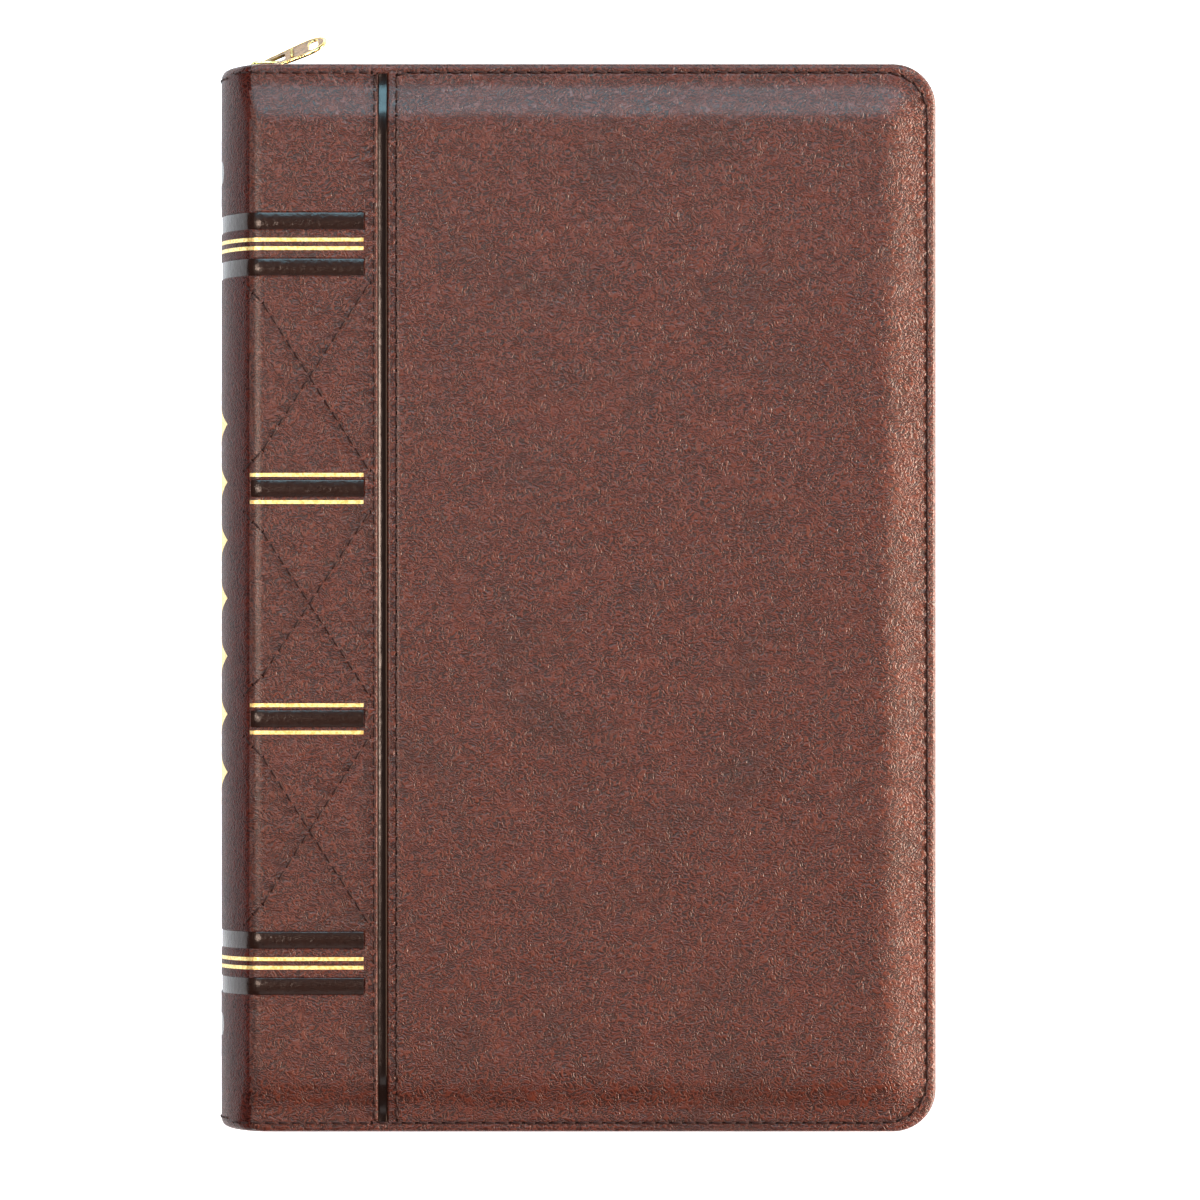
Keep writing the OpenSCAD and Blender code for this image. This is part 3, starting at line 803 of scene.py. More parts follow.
def cover_pattern(front, finishes):
    """The dark bands and gold lines on the leather beside the spine."""
    start = q_at(BAND_END_X - 0.2)
    flat = np.linspace(start, 0.99, 25)
    to_ridge = np.concatenate([flat, np.linspace(1, 1.6, 7)])
    to_spine = np.concatenate([flat, np.linspace(1, 2, 9), np.linspace(2.1, 3, 8)])
    bands, gold = Parts(), Parts()
    for centres, parts, width, depth in (
        (OUTER_BANDS, bands, BAND_W, 0.17),
        (INNER_BANDS, bands, BAND_W, 0.17),
        (OUTER_GOLD, gold, GOLD_W, -0.03),
        (INNER_GOLD, gold, GOLD_W, -0.03),
    ):
        crosses = centres in (OUTER_BANDS, OUTER_GOLD)
        for y in centres:
            strip(parts, hinge_point, y, width, to_spine if crosses else to_ridge, depth, 0.14)
    for parts, name, finish, slot in (
        (bands, "_bands", "gloss", "pressed_band"),
        (gold, "_gold_lines", "foil", "gold_foil"),
    ):
        obj = cover_piece(front, name, "_pressed", parts, [finishes[finish]], slot)
        follow_crease(obj)


def spine_pattern(finishes):
    """Bands and lines across the spine, a column of gold lozenges and dots, and two dark rosettes."""
    across = np.linspace(JOIN_ANGLE, -JOIN_ANGLE, 31)
    bands, gold, motifs, rosettes = Parts(), Parts(), Parts(), Parts()
    for y in OUTER_BANDS:
        strip(bands, spine_point, y, BAND_W, across, 0.17, 0.14)
    for y in OUTER_GOLD:
        strip(gold, spine_point, y, GOLD_W, across, -0.03, 0.14)
    for i in range(-3, 4):
        spine_mark(motifs, 12 * i, 0, 4.5, 4, -0.03, LOZENGE_FINENESS, widen=10 / 4.5)
    for i in range(-4, 4):
        spine_mark(motifs, 12 * (i + 0.5), 0, 0.9, 12, -0.03, DOT_FINENESS)
    for side in (-1, 1):
        for along, off in ((4.6, 0), (-4.6, 0), (0, 4.6), (0, -4.6)):
            spine_mark(rosettes, side * 88.3 + along, off, 2.4, 12, -0.02, DOT_FINENESS)
    for parts, name, finish, slot, node in (
        (bands, "spine_bands_pressed", "gloss", "pressed_band", "spine_bands"),
        (gold, "spine_gold_lines_pressed", "foil", "gold_foil", "spine_gold_lines"),
        (motifs, "spine_lozenges", "foil", "gold_foil", "spine_ornaments"),
        (rosettes, "spine_rosettes", "gloss", "pressed_band", None),
    ):
        obj = make_object(name, parts, [finishes[finish]], slot)
        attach(obj, "spine")
        if node:
            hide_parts(node)


def spine_mark(parts, y, off, radius, sides, depth, fineness, widen=1.0):
    """A flat mark on the spine, round or with a few corners."""
    turn = circle(fineness * sides)
    corner = (turn * sides / (2 * math.pi)) % 1
    flatness = math.cos(math.pi / sides) / np.cos((corner - 0.5) * 2 * math.pi / sides)

    def ring(share, sunk):
        r = radius * share * flatness
        return spine_point(y + r * np.cos(turn), (off + widen * r * np.sin(turn)) / SPINE_R, sunk)

    rings = [ring(share, depth) for share in np.linspace(0.02, 1, fineness)]
    tube(parts, rings + [ring(1, depth + 0.1)])


# ---------- Stitches ----------


def stitch_line(parts, holes, normals, share=0.8):
    """Twisted thread between needle holes, one stitch after another, with near-black discs under it as
    painted shade in the holes.
    """
    along = np.diff(holes, axis=0)
    length = np.linalg.norm(along, axis=1)
    along = unit(along)
    side = np.cross(normals[:-1], along)
    lean = (random.random(len(along)) - 0.5) * 0.12
    t = np.linspace(0, 1, 9)
    turn = circle(8)
    lift = -0.12 + 0.36 * np.sin(math.pi * t) ** 0.5
    radius = 0.24 * (0.55 + 0.45 * np.sin(math.pi * t) ** 0.5)
    thick = radius[:, None] * (1 + 0.24 * np.cos(2 * (turn[None, :] - 7 * t[:, None])))
    for k, (ahead, across, up) in enumerate(zip(along, side, normals)):
        centre = holes[k] + ahead * length[k] * (1 - share) / 2
        centre = centre + np.outer(t * length[k] * share, ahead) + np.outer(lift, up)
        centre += np.outer((t - 0.5) * lean[k], across)
        round_side = (thick * np.cos(turn))[:, :, None] * across
        round_up = (thick * np.sin(turn))[:, :, None] * up
        tube(parts, centre[:, None, :] + round_side + round_up)
    # A near-black disc sunk at each hole: painted shade for the hole's depth.
    rim = circle(10)
    ahead = np.vstack([along, along[-1:]])
    across = np.cross(normals, ahead)
    for k in range(len(holes)):
        disc = holes[k] + 0.03 * normals[k] + 0.42 * np.outer(np.cos(rim), ahead[k])
        disc += 0.4 * np.outer(np.sin(rim), across[k])
        low = holes[k] - 0.1 * normals[k] + 0.3 * (disc - holes[k])
        tube(parts, [disc, low], finish=1)


def stitched(name, parts, front, finishes, node=None):
    """An object of stitches, on the front or, mirrored, on the back."""
    if not front:
        parts.mirror()
    obj = make_object(name, parts, [finishes["thread"], finishes["hole_shade"]], "thread", sharp=80)
    if node:
        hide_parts(node)
    return obj


def surface_normals(points):
    """Normals of the padded face at points on it."""
    x, y = points[:, 0], points[:, 1]
    step = 0.05
    slope_x = (top_z(x + step, y) - top_z(x - step, y)) / (2 * step)
    slope_y = (top_z(x, y + step) - top_z(x, y - step)) / (2 * step)
    return unit(np.column_stack([-slope_x, -slope_y, np.ones(len(points))]))


def border_stitching(front, finishes):
    """Stitches round the three sewn sides of a panel."""
    outline, core, half_w = panel_outline()
    share = BORDER_IN / half_w
    xy = outline * (1 - share) + core * share
    line = xy[(np.abs(outline[:, 1]) > HALF_H - 0.9) | (outline[:, 0] > 60)]
    line = line[line[:, 0] > PANEL_X0 + 1.8]
    over_piping = [(SEAM_X - 0.3, side * (HALF_H - BORDER_IN)) for side in (-1, 1)]
    line = np.concatenate([over_piping[:1], line, over_piping[1:]])
    points = np.column_stack([line, top_z(line[:, 0], line[:, 1]) - 0.1])
    holes = resample(points, BORDER_PITCH)
    parts = Parts()
    stitch_line(parts, holes, surface_normals(holes))
    name = side_name(front) + "_border_stitching"
    obj = stitched(name + "_thread", parts, front, finishes, name)
    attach(obj, cover_body(front))


def seam_stitching(front, finishes):
    """Stitches along both sides of the piping."""
    parts = Parts()
    for x in SEAM_STITCH_X:
        ys = np.linspace(-HALF_H + 2.2, HALF_H - 2.2, 300)
        xs = np.full(300, x)
        holes = resample(np.column_stack([xs, ys, top_z(xs, ys) - 0.1]), SEAM_PITCH)
        stitch_line(parts, holes, surface_normals(holes), 0.68)
    node = "front_seam_stitching" if front else None
    obj = stitched(side_name(front) + "_seam_thread", parts, front, finishes, node)
    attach(obj, cover_body(front))


def line_on_hinge(q, y, depth):
    """Points and normals of a line across the hinge leather."""
    points = hinge_point(y, q, depth)
    under = hinge_point(y, q, depth + 0.5)
    return points, unit(points - under)


def hinge_end_stitching(front, finishes):
    """The border stitches at the head and the tail of the leather beside the spine."""
    parts = Parts()
    q = np.concatenate([np.linspace(q_at(SEAM_STITCH_X[0] - 0.6), 0.99, 60), np.linspace(1, 3, 60)])
    for side in (-1, 1):
        points, normals = line_on_hinge(q, np.full(120, side * (HALF_H - BORDER_IN)), 0.05)
        holes, turned = resample(points, BORDER_PITCH, normals)
        stitch_line(parts, holes, turned)
    follow_crease(stitched(side_name(front) + "_hinge_end_thread", parts, front, finishes))


def cross_stitching(front, finishes):
    """Three stitched crosses between the band groups."""
    parts = Parts()
    for low, high in CROSS_SPANS:
        for y0, y1 in ((low, high), (high, low)):
            t = np.linspace(0, 1, 160)
            x = CROSS_X[1] + (CROSS_X[0] - CROSS_X[1]) * t
            y = PATTERN_Y + y0 + (y1 - y0) * t
            flat_end = hinge_point(0.0, 1.0, 0.0)[0]
            q = np.where(x > flat_end, q_at(x), 1 + (flat_end - x) / 2.5)
            points, normals = line_on_hinge(q, y, 0.04)
            holes, turned = resample(points, SEAM_PITCH, normals)
            stitch_line(parts, holes, turned, 0.76)
    node = "front_cross_stitching" if front else None
    follow_crease(stitched(side_name(front) + "_cross_thread", parts, front, finishes, node))


def spine_end_stitching(finishes):
    """The border stitches across both ends of the spine."""
    parts = Parts()
    angles = np.linspace(JOIN_ANGLE - 0.09, 0.09 - JOIN_ANGLE, 60)
    for side in (-1, 1):
        ys = np.full(60, side * (HALF_H - BORDER_IN - 0.6))
        points = spine_point(ys, angles, 0.2)
        normals = unit(points - spine_point(ys, angles, 1.0))
        holes, turned = resample(points, BORDER_PITCH, normals)
        stitch_line(parts, holes, turned)
    obj = stitched("spine_end_thread", parts, True, finishes)
    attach(obj, "spine")


# ---------- Leaves ----------


def leaves(front, finishes):
    """Half of the leaves: gilt, uneven edges in fine layers, with the hollow of a rounded book."""
    layers, leaf_share = 44, 0.86
    z_low, z_high = MID_Z + 0.2, THICK - SKIN_T - 0.3
    chord = z_high - MID_Z - 1
    hollow_r = (chord**2 + BLOCK_HOLLOW**2) / (2 * BLOCK_HOLLOW)
    r = BLOCK_CORNER_R
    corner_x, corner_y = BLOCK_X[1] - r, BLOCK_Y - r
    xs = [*np.linspace(BLOCK_X[0], -38, 40), *np.linspace(-30, corner_x - 4, 10)]
    head = np.array([(x, BLOCK_Y) for x in xs] + quarter(corner_x, corner_y, r, 0, 7)[::-1])
    loop = np.concatenate([head, head[::-1] * [1, -1]])
    rings = []
    for k in range(layers):
        jitter = 0.07 * random.random()
        for step in (k, k + leaf_share):
            z = z_low + (z_high - z_low) * step / layers
            rise_z = min(z - MID_Z, chord)
            hollow = BLOCK_HOLLOW - (hollow_r - math.sqrt(hollow_r**2 - rise_z**2))
            x_end = BLOCK_X[1] - max(hollow, 0) - jitter
            stretch = (x_end - BLOCK_X[0]) / (BLOCK_X[1] - BLOCK_X[0])
            x = BLOCK_X[0] + (loop[:, 0] - BLOCK_X[0]) * stretch
            y = loop[:, 1] - np.sign(loop[:, 1]) * jitter
            rings.append(np.column_stack([x, y, np.full(len(loop), z)]))
    parts = Parts()
    rings = np.array(rings)
    parts.add(rings, grid_faces(len(rings), len(loop), loop_cols=True), 1)
    count = len(head)
    for ring in (rings[0], rings[-1]):
        rungs = np.linspace(0, 1, 12)[:, None, None]
        cap = ring[:count] * (1 - rungs) + ring[count:][::-1] * rungs
        parts.add(cap, grid_faces(12, count))
    looks = [finishes["paper"], finishes["gilt"]]
    obj = cover_piece(front, "_pages", "_leaves", parts, looks, "paper", weld=True)
    bend_leaves(obj)


def ribbon(finishes):
    """The ribbon marker, laid on the leaves of the back half."""
    half_len, half_w = 98.0, 5.0
    along = np.linspace(-half_len, half_len, 120)[:, None]
    across = np.linspace(-half_w, half_w, 9)[None, :]
    turn = math.radians(5)
    x = CREASE_X + 18 + across * math.cos(turn) - along * math.sin(turn)
    y = across * math.sin(turn) + along * math.cos(turn)
    z = MID_Z - 0.16 + 0.02 * np.cos(across * 1.1) + 0 * along
    face = spread(x, y, z)
    parts = Parts()
    slab(parts, face + [0, 0, 0.12], face)
    obj = make_object("ribbon_marker_cloth", parts, [finishes["ribbon"]], "ribbon")
    bend_leaves(obj)
    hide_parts("ribbon_marker")


def end_band(side, finishes):
    """A round, thread-wrapped band at one end of the leaves' back."""
    inside = LEATHER_T + 1.95
    angles = np.linspace(-0.42, 0.42, 90)
    turn = circle(12)
    rings = []
    for k, angle in enumerate(angles):
        radius = 0.62 + 0.05 * math.sin(2 * math.pi * k / 4)
        reach = SPINE_R - inside - 0.75 + radius * np.cos(turn)
        x = np.minimum(SPINE_CX - reach * math.cos(angle), CREASE_X - 0.35)
        y = side * (BLOCK_Y + 0.65 + radius * np.sin(turn))
        rings.append(np.column_stack([x, y, MID_Z + reach * math.sin(angle)]))
    parts = Parts()
    tube(parts, rings)
    name = "head_band" if side > 0 else "tail_band"
    obj = make_object(name + "_cord", parts, [finishes["head_band"]], "head_band", sharp=80)
    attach(obj, "spine")
    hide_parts(name)


# ---------- Zip ----------


def zip_path(start_x, end_x, step=1.0):
    """Points and outward directions of the zip, from the tail edge round the fore-edge to the head."""
    corner_x, corner_y = ZIP_X - ZIP_R, ZIP_Y - ZIP_R
    points = [(x, -ZIP_Y) for x in np.arange(start_x, corner_x, step)]
    points += quarter(corner_x, -corner_y, ZIP_R, -1, 9)
    points += [(ZIP_X, y) for y in np.arange(-corner_y + step, corner_y, step)]
    points += quarter(corner_x, corner_y, ZIP_R, 0, 9)
    points += [(x, ZIP_Y) for x in np.arange(corner_x - step, end_x, -step)] + [(end_x, ZIP_Y)]
    points = np.array(points)
    ahead = unit(np.gradient(points, axis=0))
    return points, np.column_stack([ahead[:, 1], -ahead[:, 0]])


def zip_tape(front, finishes):
    """The woven tape, with the thick cord along its edge that the teeth grip."""
    points, outward = zip_path(ZIP_START_X, ZIP_START_X)
    profile = [(-0.25, 4.8), (0.25, 4.8), (0.25, 15.2), (0.55, 15.7), (0.55, 16.4), (0.25, 16.9)]
    profile += [(-0.25, 16.9), (-0.55, 16.4), (-0.55, 15.7), (-0.25, 15.2)]
    rings = [[(*(p + n * off), z) for off, z in profile] for p, n in zip(points, outward)]
    parts = Parts()
    tube(parts, rings)
    obj = cover_piece(front, "_zip_tape", "_cloth", parts, [finishes["tape"]], "zip_tape", False)
    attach(obj, cover_body(front))


# A tooth's height, half its width and half its length along the zip, from the tape to the tip.
TOOTH_ROOT = ((15.5, 0.5, 1.15), (15.75, 0.56, 1.28), (17.2, 0.56, 1.3))
TOOTH = (*TOOTH_ROOT, (17.9, 0.4, 1.15), (18.9, 0.52, 1.1), (19.3, 0.4, 0.8))


def chamfered(half_u, half_v, inset):
    """The corners of a rectangle about its middle, each cut off by an inset."""
    u, v = half_u - inset, half_v - inset
    half = [(half_u, v), (u, half_v), (-u, half_v), (-half_u, v)]
    return half + [(-a, -b) for a, b in half]


def zip_teeth(front, finishes):
    """A row of metal teeth. The two rows mesh, half a pitch apart."""
    points, outward = zip_path(ZIP_START_X + 3.0, TEETH_START_X, 0.4)
    flat = np.column_stack([points, np.zeros(len(points))])
    at, facing = resample(flat, TOOTH_PITCH, np.column_stack([outward, np.zeros(len(points))]))
    if front:
        at, facing = (at[1:] + at[:-1]) / 2, facing[1:]
    parts = Parts()
    for p, n in zip(at, facing):
        ahead = np.array([-n[1], n[0], 0])
        outlines = [(z, chamfered(half_w, half_l, 0.14)) for z, half_w, half_l in TOOTH]
        tube(parts, [[p + [0, 0, z] + ahead * u + n * v for u, v in outline] for z, outline in outlines])
    obj = cover_piece(front, "_zip_teeth", "_metal", parts, [finishes["teeth"]], "zip_metal", False, sharp=30)
    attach(obj, cover_body(front))


def chamfered_box(parts, low, high, bevel):
    """A box with chamfered edges along its longest side and chamfered ends."""
    middle = (np.array(low, float) + high) / 2
    half = (np.array(high, float) - low) / 2
    axis = int(np.argmax(half))
    u, v = [k for k in range(3) if k != axis]
    rings = []
    for side, inset in ((-1, bevel), (-1, 0), (1, 0), (1, bevel)):
        ring = np.zeros((8, 3))
        ring[:, axis] = side * (half[axis] - bevel + inset)
        ring[:, (u, v)] = chamfered(half[u] - inset, half[v] - inset, bevel)
        rings.append(middle + ring)
    tube(parts, rings)


def zip_stop(front, finishes):
    """The metal stop clamped on the tape at the tail end."""
    parts = Parts()
    low = (ZIP_START_X, -ZIP_Y - 1.45, 16.6)
    chamfered_box(parts, low, (ZIP_START_X + 2.2, -ZIP_Y + 1.45, 18.8), 0.3)
    obj = cover_piece(front, "_zip_stop", "_metal", parts, [finishes["teeth"]], "zip_metal", False, sharp=30)
    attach(obj, cover_body(front))


def slider_plate(parts, y_low, y_high):
    """One plate of the slider, wide at the nose, with rounded edges."""
    nose, tail = 4.5, 3.5
    x0, x1 = SLIDER_NOSE_X, SLIDER_NOSE_X + SLIDER_LEN
    half = [(x0, 2.2), (x0 + 0.35, 3.4), (x0 + 1.4, nose), (x0 + 4.0, nose), (x0 + 5.4, 4.2)]
    half += [(x0 + 7.0, tail), (x1 - 0.5, tail), (x1, tail - 0.5)]
    outline = np.array(half + [(x, -z) for x, z in half[::-1]])
    middle = np.array([(x0 + x1) / 2, 0])
    rings = []
    for y, shrink in ((y_low, 0.93), (y_low + 0.25, 1.0), (y_high - 0.25, 1.0), (y_high, 0.93)):
        ring = middle + (outline - middle) * shrink
        rings.append(np.column_stack([ring[:, 0], np.full(len(ring), y), MID_Z + ring[:, 1]]))
    tube(parts, rings)


def zip_slider(finishes):
    """The slider: two plates, their side flanges and the wedge between them."""
    parts = Parts()
    slider_plate(parts, ZIP_Y - 2.7, ZIP_Y - 1.6)
    slider_plate(parts, ZIP_Y + 1.6, ZIP_Y + 2.7)
    flange_x = (SLIDER_NOSE_X + 4.5, SLIDER_NOSE_X + SLIDER_LEN - 0.2)
    for y in (ZIP_Y - 1.9, ZIP_Y + 1.4):
        for z in (MID_Z - 3.5, MID_Z + 2.65):
            chamfered_box(parts, (flange_x[0], y, z), (flange_x[1], y + 0.5, z + 0.85), 0.15)
    wedge_low = (SLIDER_NOSE_X + 0.3, ZIP_Y - 1.8, MID_Z - 0.2)
    chamfered_box(parts, wedge_low, (SLIDER_NOSE_X + 2.4, ZIP_Y + 1.8, MID_Z + 0.2), 0.08)
    obj = make_object("slider_body_metal", parts, [finishes["slider"]], "slider_metal", sharp=35)
    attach(obj, "zip_slider")
    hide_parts("slider_body")


def slider_bridge(finishes):
    """The arch on the slider that the pull tab hangs on."""
    foot_y, top_y = ZIP_Y + 2.55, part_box("slider_bridge")[1][1] / MM - 0.4
    x0, x1 = SLIDER_NOSE_X + 1.4, SLIDER_NOSE_X + SLIDER_LEN - 1.8
    bend = 1.1
    line = [(x0, foot_y)]
    line += quarter(x0 + bend, top_y - bend, bend, 1, 7)[::-1]
    line += quarter(x1 - bend, top_y - bend, bend, 0, 7)[::-1]
    line = np.array(line + [(x1, foot_y)])
    ahead = unit(np.gradient(line, axis=0))
    out = np.column_stack([-ahead[:, 1], ahead[:, 0]])
    turn = circle(16)
    thick = 0.38 * np.sign(np.cos(turn)) * np.abs(np.cos(turn)) ** 0.6
    wide = 0.88 * np.sign(np.sin(turn)) * np.abs(np.sin(turn)) ** 0.5
    rings = [
        np.column_stack([p[0] + n[0] * thick, p[1] + n[1] * thick, MID_Z + wide]) for p, n in zip(line, out)
    ]
    parts = Parts()
    tube(parts, rings)
    obj = make_object("slider_bridge_metal", parts, [finishes["slider"]], "slider_metal", sharp=50)
    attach(obj, "zip_slider")
    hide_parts("slider_bridge")


def tab_half_width(u):
    """Half the width of the pull tab at a distance from its hinge bar."""
    tip_u = TAB_LEN - TAB_TIP_R
    if u > tip_u:
        return math.sqrt(max(TAB_TIP_R**2 - (u - tip_u) ** 2, 0))
    return TAB_ROOT_W / 2 + (TAB_TIP_R - TAB_ROOT_W / 2) * float(smooth(u, 0, tip_u))


def pull_tab(finishes):
    """The pull tab: a flat face with a window and a slot, a raised rim and a row of beads."""
    turn = circle(72)
    tip_u = TAB_LEN - TAB_TIP_R
    round_tip = tip_u + TAB_TIP_R * np.sin(np.linspace(0.1, math.pi / 2, 14))
    us = [*np.linspace(0, tip_u, 20), *round_tip]
    upper = [(u, tab_half_width(u)) for u in us]
    outer = np.array(upper[:-1] + [(u, -v) for u, v in upper[::-1]])
    window = np.array([(0.9, 1.6), (6.2, 1.6), (6.5, 1.3), (6.5, -1.3), (6.2, -1.6), (0.9, -1.6)])
    slot_u = tip_u + 1
    slot_end = 1.5 * np.sign(np.sin(turn)) * (np.abs(np.sin(turn)) > 0.02)
    slot = np.column_stack([slot_u + 1.25 * np.cos(turn), slot_end + 1.25 * np.sin(turn)])
    obj = plate_with_holes("pull_tab_metal", outer, [window, slot], 0.3, finishes["tab_face"])
    rims = Parts()
    rim_line(rims, outer, 0.42)
    rim_line(rims, slot, 0.3)
    for v in np.linspace(-1.9, 1.9, 5):
        for side in (-1, 1):
            bead(rims, (BEAD_ROW_U, v, side * 0.42), 0.38)
    bar_turn = circle(14)
    bar_x, bar_z = 0.5 * np.cos(bar_turn), 0.5 * np.sin(bar_turn)
    bar_v = np.linspace(-TAB_ROOT_W / 2, TAB_ROOT_W / 2, 5)
    tube(rims, [np.column_stack([bar_x, np.full(14, v), bar_z]) for v in bar_v])
    rim_obj = make_object("pull_tab_rim", rims, [finishes["slider"]], "slider_metal", sharp=60)
    place = (
        Matrix.Translation(Vector(TAB_PIVOT) * MM)
        @ Matrix.Rotation(math.radians(PIVOT_LEAN), 4, "X")
        @ Matrix.Rotation(math.radians(TAB_SWING), 4, "Z")
        @ Matrix.Rotation(math.radians(90 + TAB_LEAN), 4, "X")
    )
    for piece in (obj, rim_obj):
        piece.data.transform(place)
        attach(piece, "zip_pull")
    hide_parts("pull_tab")


def plate_with_holes(name, outline, holes, half_t, material):
    """A flat plate with a small bevel, filled from closed outlines."""
    curve = bpy.data.curves.new(name, "CURVE")
    curve.dimensions = "2D"
    curve.fill_mode = "BOTH"
    curve.extrude = (half_t - 0.08) * MM
    curve.bevel_depth = 0.08 * MM
    curve.bevel_resolution = 1
    for points in [outline, *holes]:
        spline = curve.splines.new("POLY")
        spline.points.add(len(points) - 1)
        for at, (u, v) in zip(spline.points, points):
            at.co = (u * MM, v * MM, 0, 1)
        spline.use_cyclic_u = True
    holder = bpy.data.objects.new(name + "_outline", curve)
    bpy.context.scene.collection.objects.link(holder)
    bpy.context.view_layer.update()
    mesh = bpy.data.meshes.new_from_object(holder.evaluated_get(bpy.context.evaluated_depsgraph_get()))
    bpy.data.objects.remove(holder)
    mesh.materials.clear()
    mesh.materials.append(material)
    obj = bpy.data.objects.new(name, mesh)
    bpy.context.scene.collection.objects.link(obj)
    return obj


def rim_line(parts, outline, radius):
    """A round rim along a closed outline in the tab's plane."""
    ahead = unit(np.roll(outline, -1, axis=0) - np.roll(outline, 1, axis=0))
    out = np.column_stack([ahead[:, 1], -ahead[:, 0]])
    turn = circle(8)
    wide, high = radius * np.cos(turn), radius * np.sin(turn)
    rings = [np.column_stack([p[0] + n[0] * wide, p[1] + n[1] * wide, high]) for p, n in zip(outline, out)]
    parts.add(rings, grid_faces(len(rings), 8, loop_rows=True, loop_cols=True))


def bead(parts, centre, radius):
    """A small ball."""
    turn = circle(12)
    rings = []
    for rise_angle in np.linspace(-1.45, 1.45, 7):
        r = radius * math.cos(rise_angle)
        z = centre[2] + radius * math.sin(rise_angle)
        x, y = centre[0] + r * np.cos(turn), centre[1] + r * np.sin(turn)
        rings.append(np.column_stack([x, y, np.full(12, z)]))
    tube(parts, rings)


# ---------- The whole scene ----------


def make_finishes():
    gold, bronze = colour(226, 196, 132), colour(120, 92, 56)
    return {
        "leather": leather_material("leather", 0.36, 0.2, (0.47, 0.37, 0.32, 1)),
        # A darker, less shiny copy of the leather: painted shade on the spine's side.
        "spine_painted_shade": leather_material("spine_painted_shade_leather", 0.07, 0.0, (0.34, 0.2, 0.21, 1)),
        "raw_edge": plain_leather_material("raw_edge", colour(104, 64, 48), 0.7),
        "gloss": gloss_material(),
        "piping": piping_material(),
        "foil": foil_material(),
        # Painted shade for the needle holes.
        "thread": thread_material(),
        "hole_shade": hole_shade_material(),
        "paper": paper_material(),
        "gilt": gilt_material(),
        "ribbon": woven_material("ribbon", colour(96, 18, 20), colour(148, 32, 34), 0.5, rough=0.45),
        "head_band": striped_material(),
        "tape": woven_material("zip_tape", colour(46, 26, 20), colour(84, 50, 38), 0.55),
        "teeth": metal_material("zip_metal", gold, bronze, 0.28),
        "slider": metal_material("slider_metal", colour(240, 216, 150), colour(176, 140, 84), 0.2),
        "tab_face": metal_material("tab_face", colour(132, 100, 62), colour(84, 62, 40), 0.3, own_mesh=False),
    }


def finish_inner_nodes(nodes):
    """Materials for the CAD nodes that stay in view or inside the covers."""
    lining = woven_material("cover_lining", colour(60, 34, 26), colour(92, 56, 43), 0.7, own_mesh=False)
    endpaper = hidden_material("endpaper", colour(206, 190, 160), colour(226, 212, 184), 0.5, 0.7)
    foam = hidden_material("foam", colour(190, 176, 130), colour(214, 202, 160), 2.5)
    board = hidden_material("board", colour(128, 108, 84), colour(160, 138, 108), 1.2)
    mull = woven_material("spine_cloth", colour(206, 200, 186), colour(236, 230, 216), 0.9, own_mesh=False)
    glue = hidden_material("glued_back", colour(226, 214, 186), colour(240, 230, 206), 1.0)
    chosen = {
        "lining": (lining, "cover_lining"),
        "endpaper": (endpaper, "endpaper"),
        "foam": (foam, "foam"),
        "board": (board, "board"),
        "spine_lining": (mull, "spine_cloth"),
        "spine_stiffener": (board, "board"),
        "text_block_back": (glue, "paper"),
    }
    for name, node in nodes.items():
        key = name if name in chosen else name.split("_", 1)[-1]
        material, slot = chosen.get(key, (foam, None))
        node.data.materials.clear()
        node.data.materials.append(material)


def build_book(finishes):
    for front in (True, False):
        panel_leather(front, finishes)
        hinge_leather(front, finishes)
        piping(front, finishes)
        cover_pattern(front, finishes)
        border_stitching(front, finishes)
        seam_stitching(front, finishes)
        hinge_end_stitching(front, finishes)
        cross_stitching(front, finishes)
        leaves(front, finishes)
        zip_tape(front, finishes)
        zip_teeth(front, finishes)
        zip_stop(front, finishes)
    spine_leather(finishes)
    spine_pattern(finishes)
    spine_end_stitching(finishes)
    for side in (-1, 1):
        end_band(side, finishes)
    ribbon(finishes)
    zip_slider(finishes)
    slider_bridge(finishes)
    pull_tab(finishes)


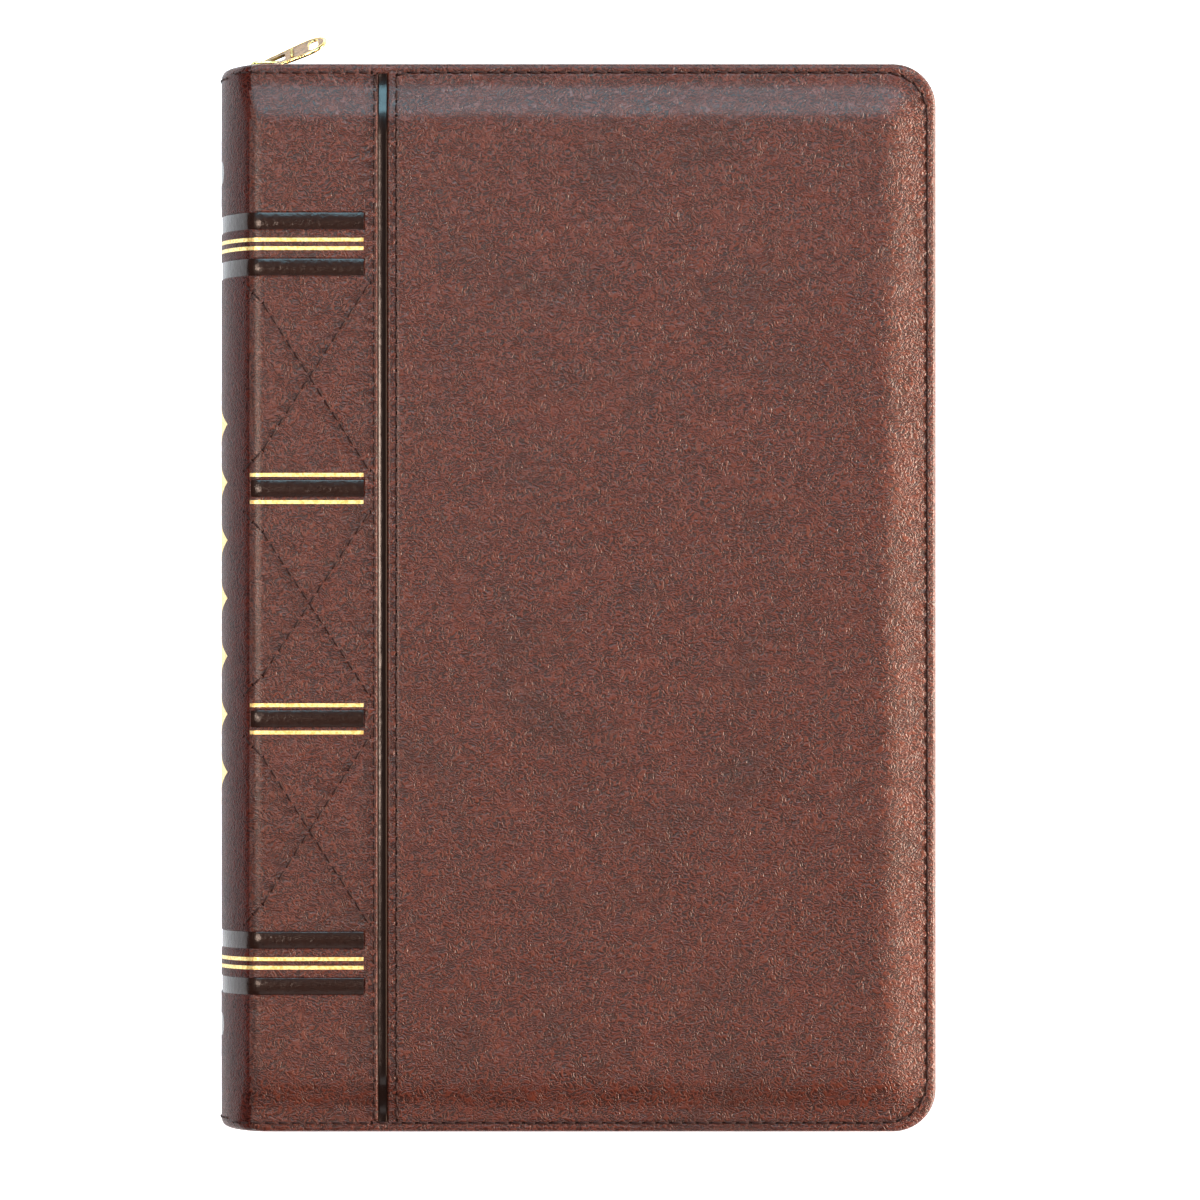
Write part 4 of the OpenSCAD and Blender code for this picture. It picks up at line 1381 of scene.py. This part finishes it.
def build_stage():
    """A plain pale floor, level with the book's back."""
    mesh = bpy.data.meshes.new("floor")
    mesh.from_pydata([(-4, -4, 0), (4, -4, 0), (4, 4, 0), (-4, 4, 0)], [], [(0, 1, 2, 3)])
    floor = bpy.data.objects.new("floor", mesh)
    floor.location.z = -0.0002
    s = Shader("floor", False, Roughness=0.9, Emission_Strength=0.8)
    s.set("Base Color", s.mix(s.noise(0.002, 2), (0.86, 0.86, 0.86, 1), (0.89, 0.89, 0.89, 1)))
    s.surface.inputs["Emission Color"].default_value = (0.93, 0.92, 1, 1)
    mesh.materials.append(s.material)
    bpy.context.scene.collection.objects.link(floor)


def add_light(name, place, size, power, tint):
    """A soft rectangular light aimed at the middle of the book."""
    light = bpy.data.lights.new(name, "AREA")
    light.shape = "RECTANGLE"
    light.size, light.size_y = size
    light.energy = power
    light.color = tint
    holder = bpy.data.objects.new(name, light)
    holder.location = place
    aim = Vector((0, 0, 0.03)) - Vector(place)
    holder.rotation_mode = "QUATERNION"
    holder.rotation_quaternion = aim.to_track_quat("-Z", "Y")
    holder.visible_camera = False
    bpy.context.scene.collection.objects.link(holder)


def build_lights():
    world = bpy.data.worlds.new("studio")
    bpy.context.scene.world = world
    world.use_nodes = True
    world.node_tree.nodes["Background"].inputs["Color"].default_value = (1, 1, 1, 1)
    world.node_tree.nodes["Background"].inputs["Strength"].default_value = 0.05
    add_light("head_cool", (0.0, 0.70, 0.97), (1.3, 0.36), 17.0, (0.45, 0.84, 1.0))
    add_light("fore_low", (1.6, -0.05, 0.26), (1.5, 0.4), 110.0, (1.0, 0.84, 0.68))
    add_light("fore_high", (0.66, -0.05, 0.98), (0.45, 0.45), 3.8, (1.0, 0.62, 0.42))
    add_light("ridge", (-0.5, 0.05, 1.05), (0.10, 0.5), 8.0, (1.0, 0.74, 0.60))
    add_light("tail", (0.0, -0.5, 1.1), (0.8, 0.2), 0.7, (1.0, 0.95, 0.92))


def build_camera():
    """A long lens straight above, a little to the tail side of the middle."""
    lens = bpy.data.cameras.new("camera")
    lens.lens = 228.7
    lens.sensor_width = 36
    lens.shift_x = 0.0178
    lens.shift_y = 0.079
    camera = bpy.data.objects.new("camera", lens)
    camera.location = (0.0, -0.020, 1.606)
    bpy.context.scene.collection.objects.link(camera)
    bpy.context.scene.camera = camera


def main():
    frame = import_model()
    bpy.context.scene.view_settings.view_transform = "Standard"
    finish_inner_nodes(frame["nodes"])
    build_book(make_finishes())
    build_stage()
    build_lights()
    build_camera()


main()
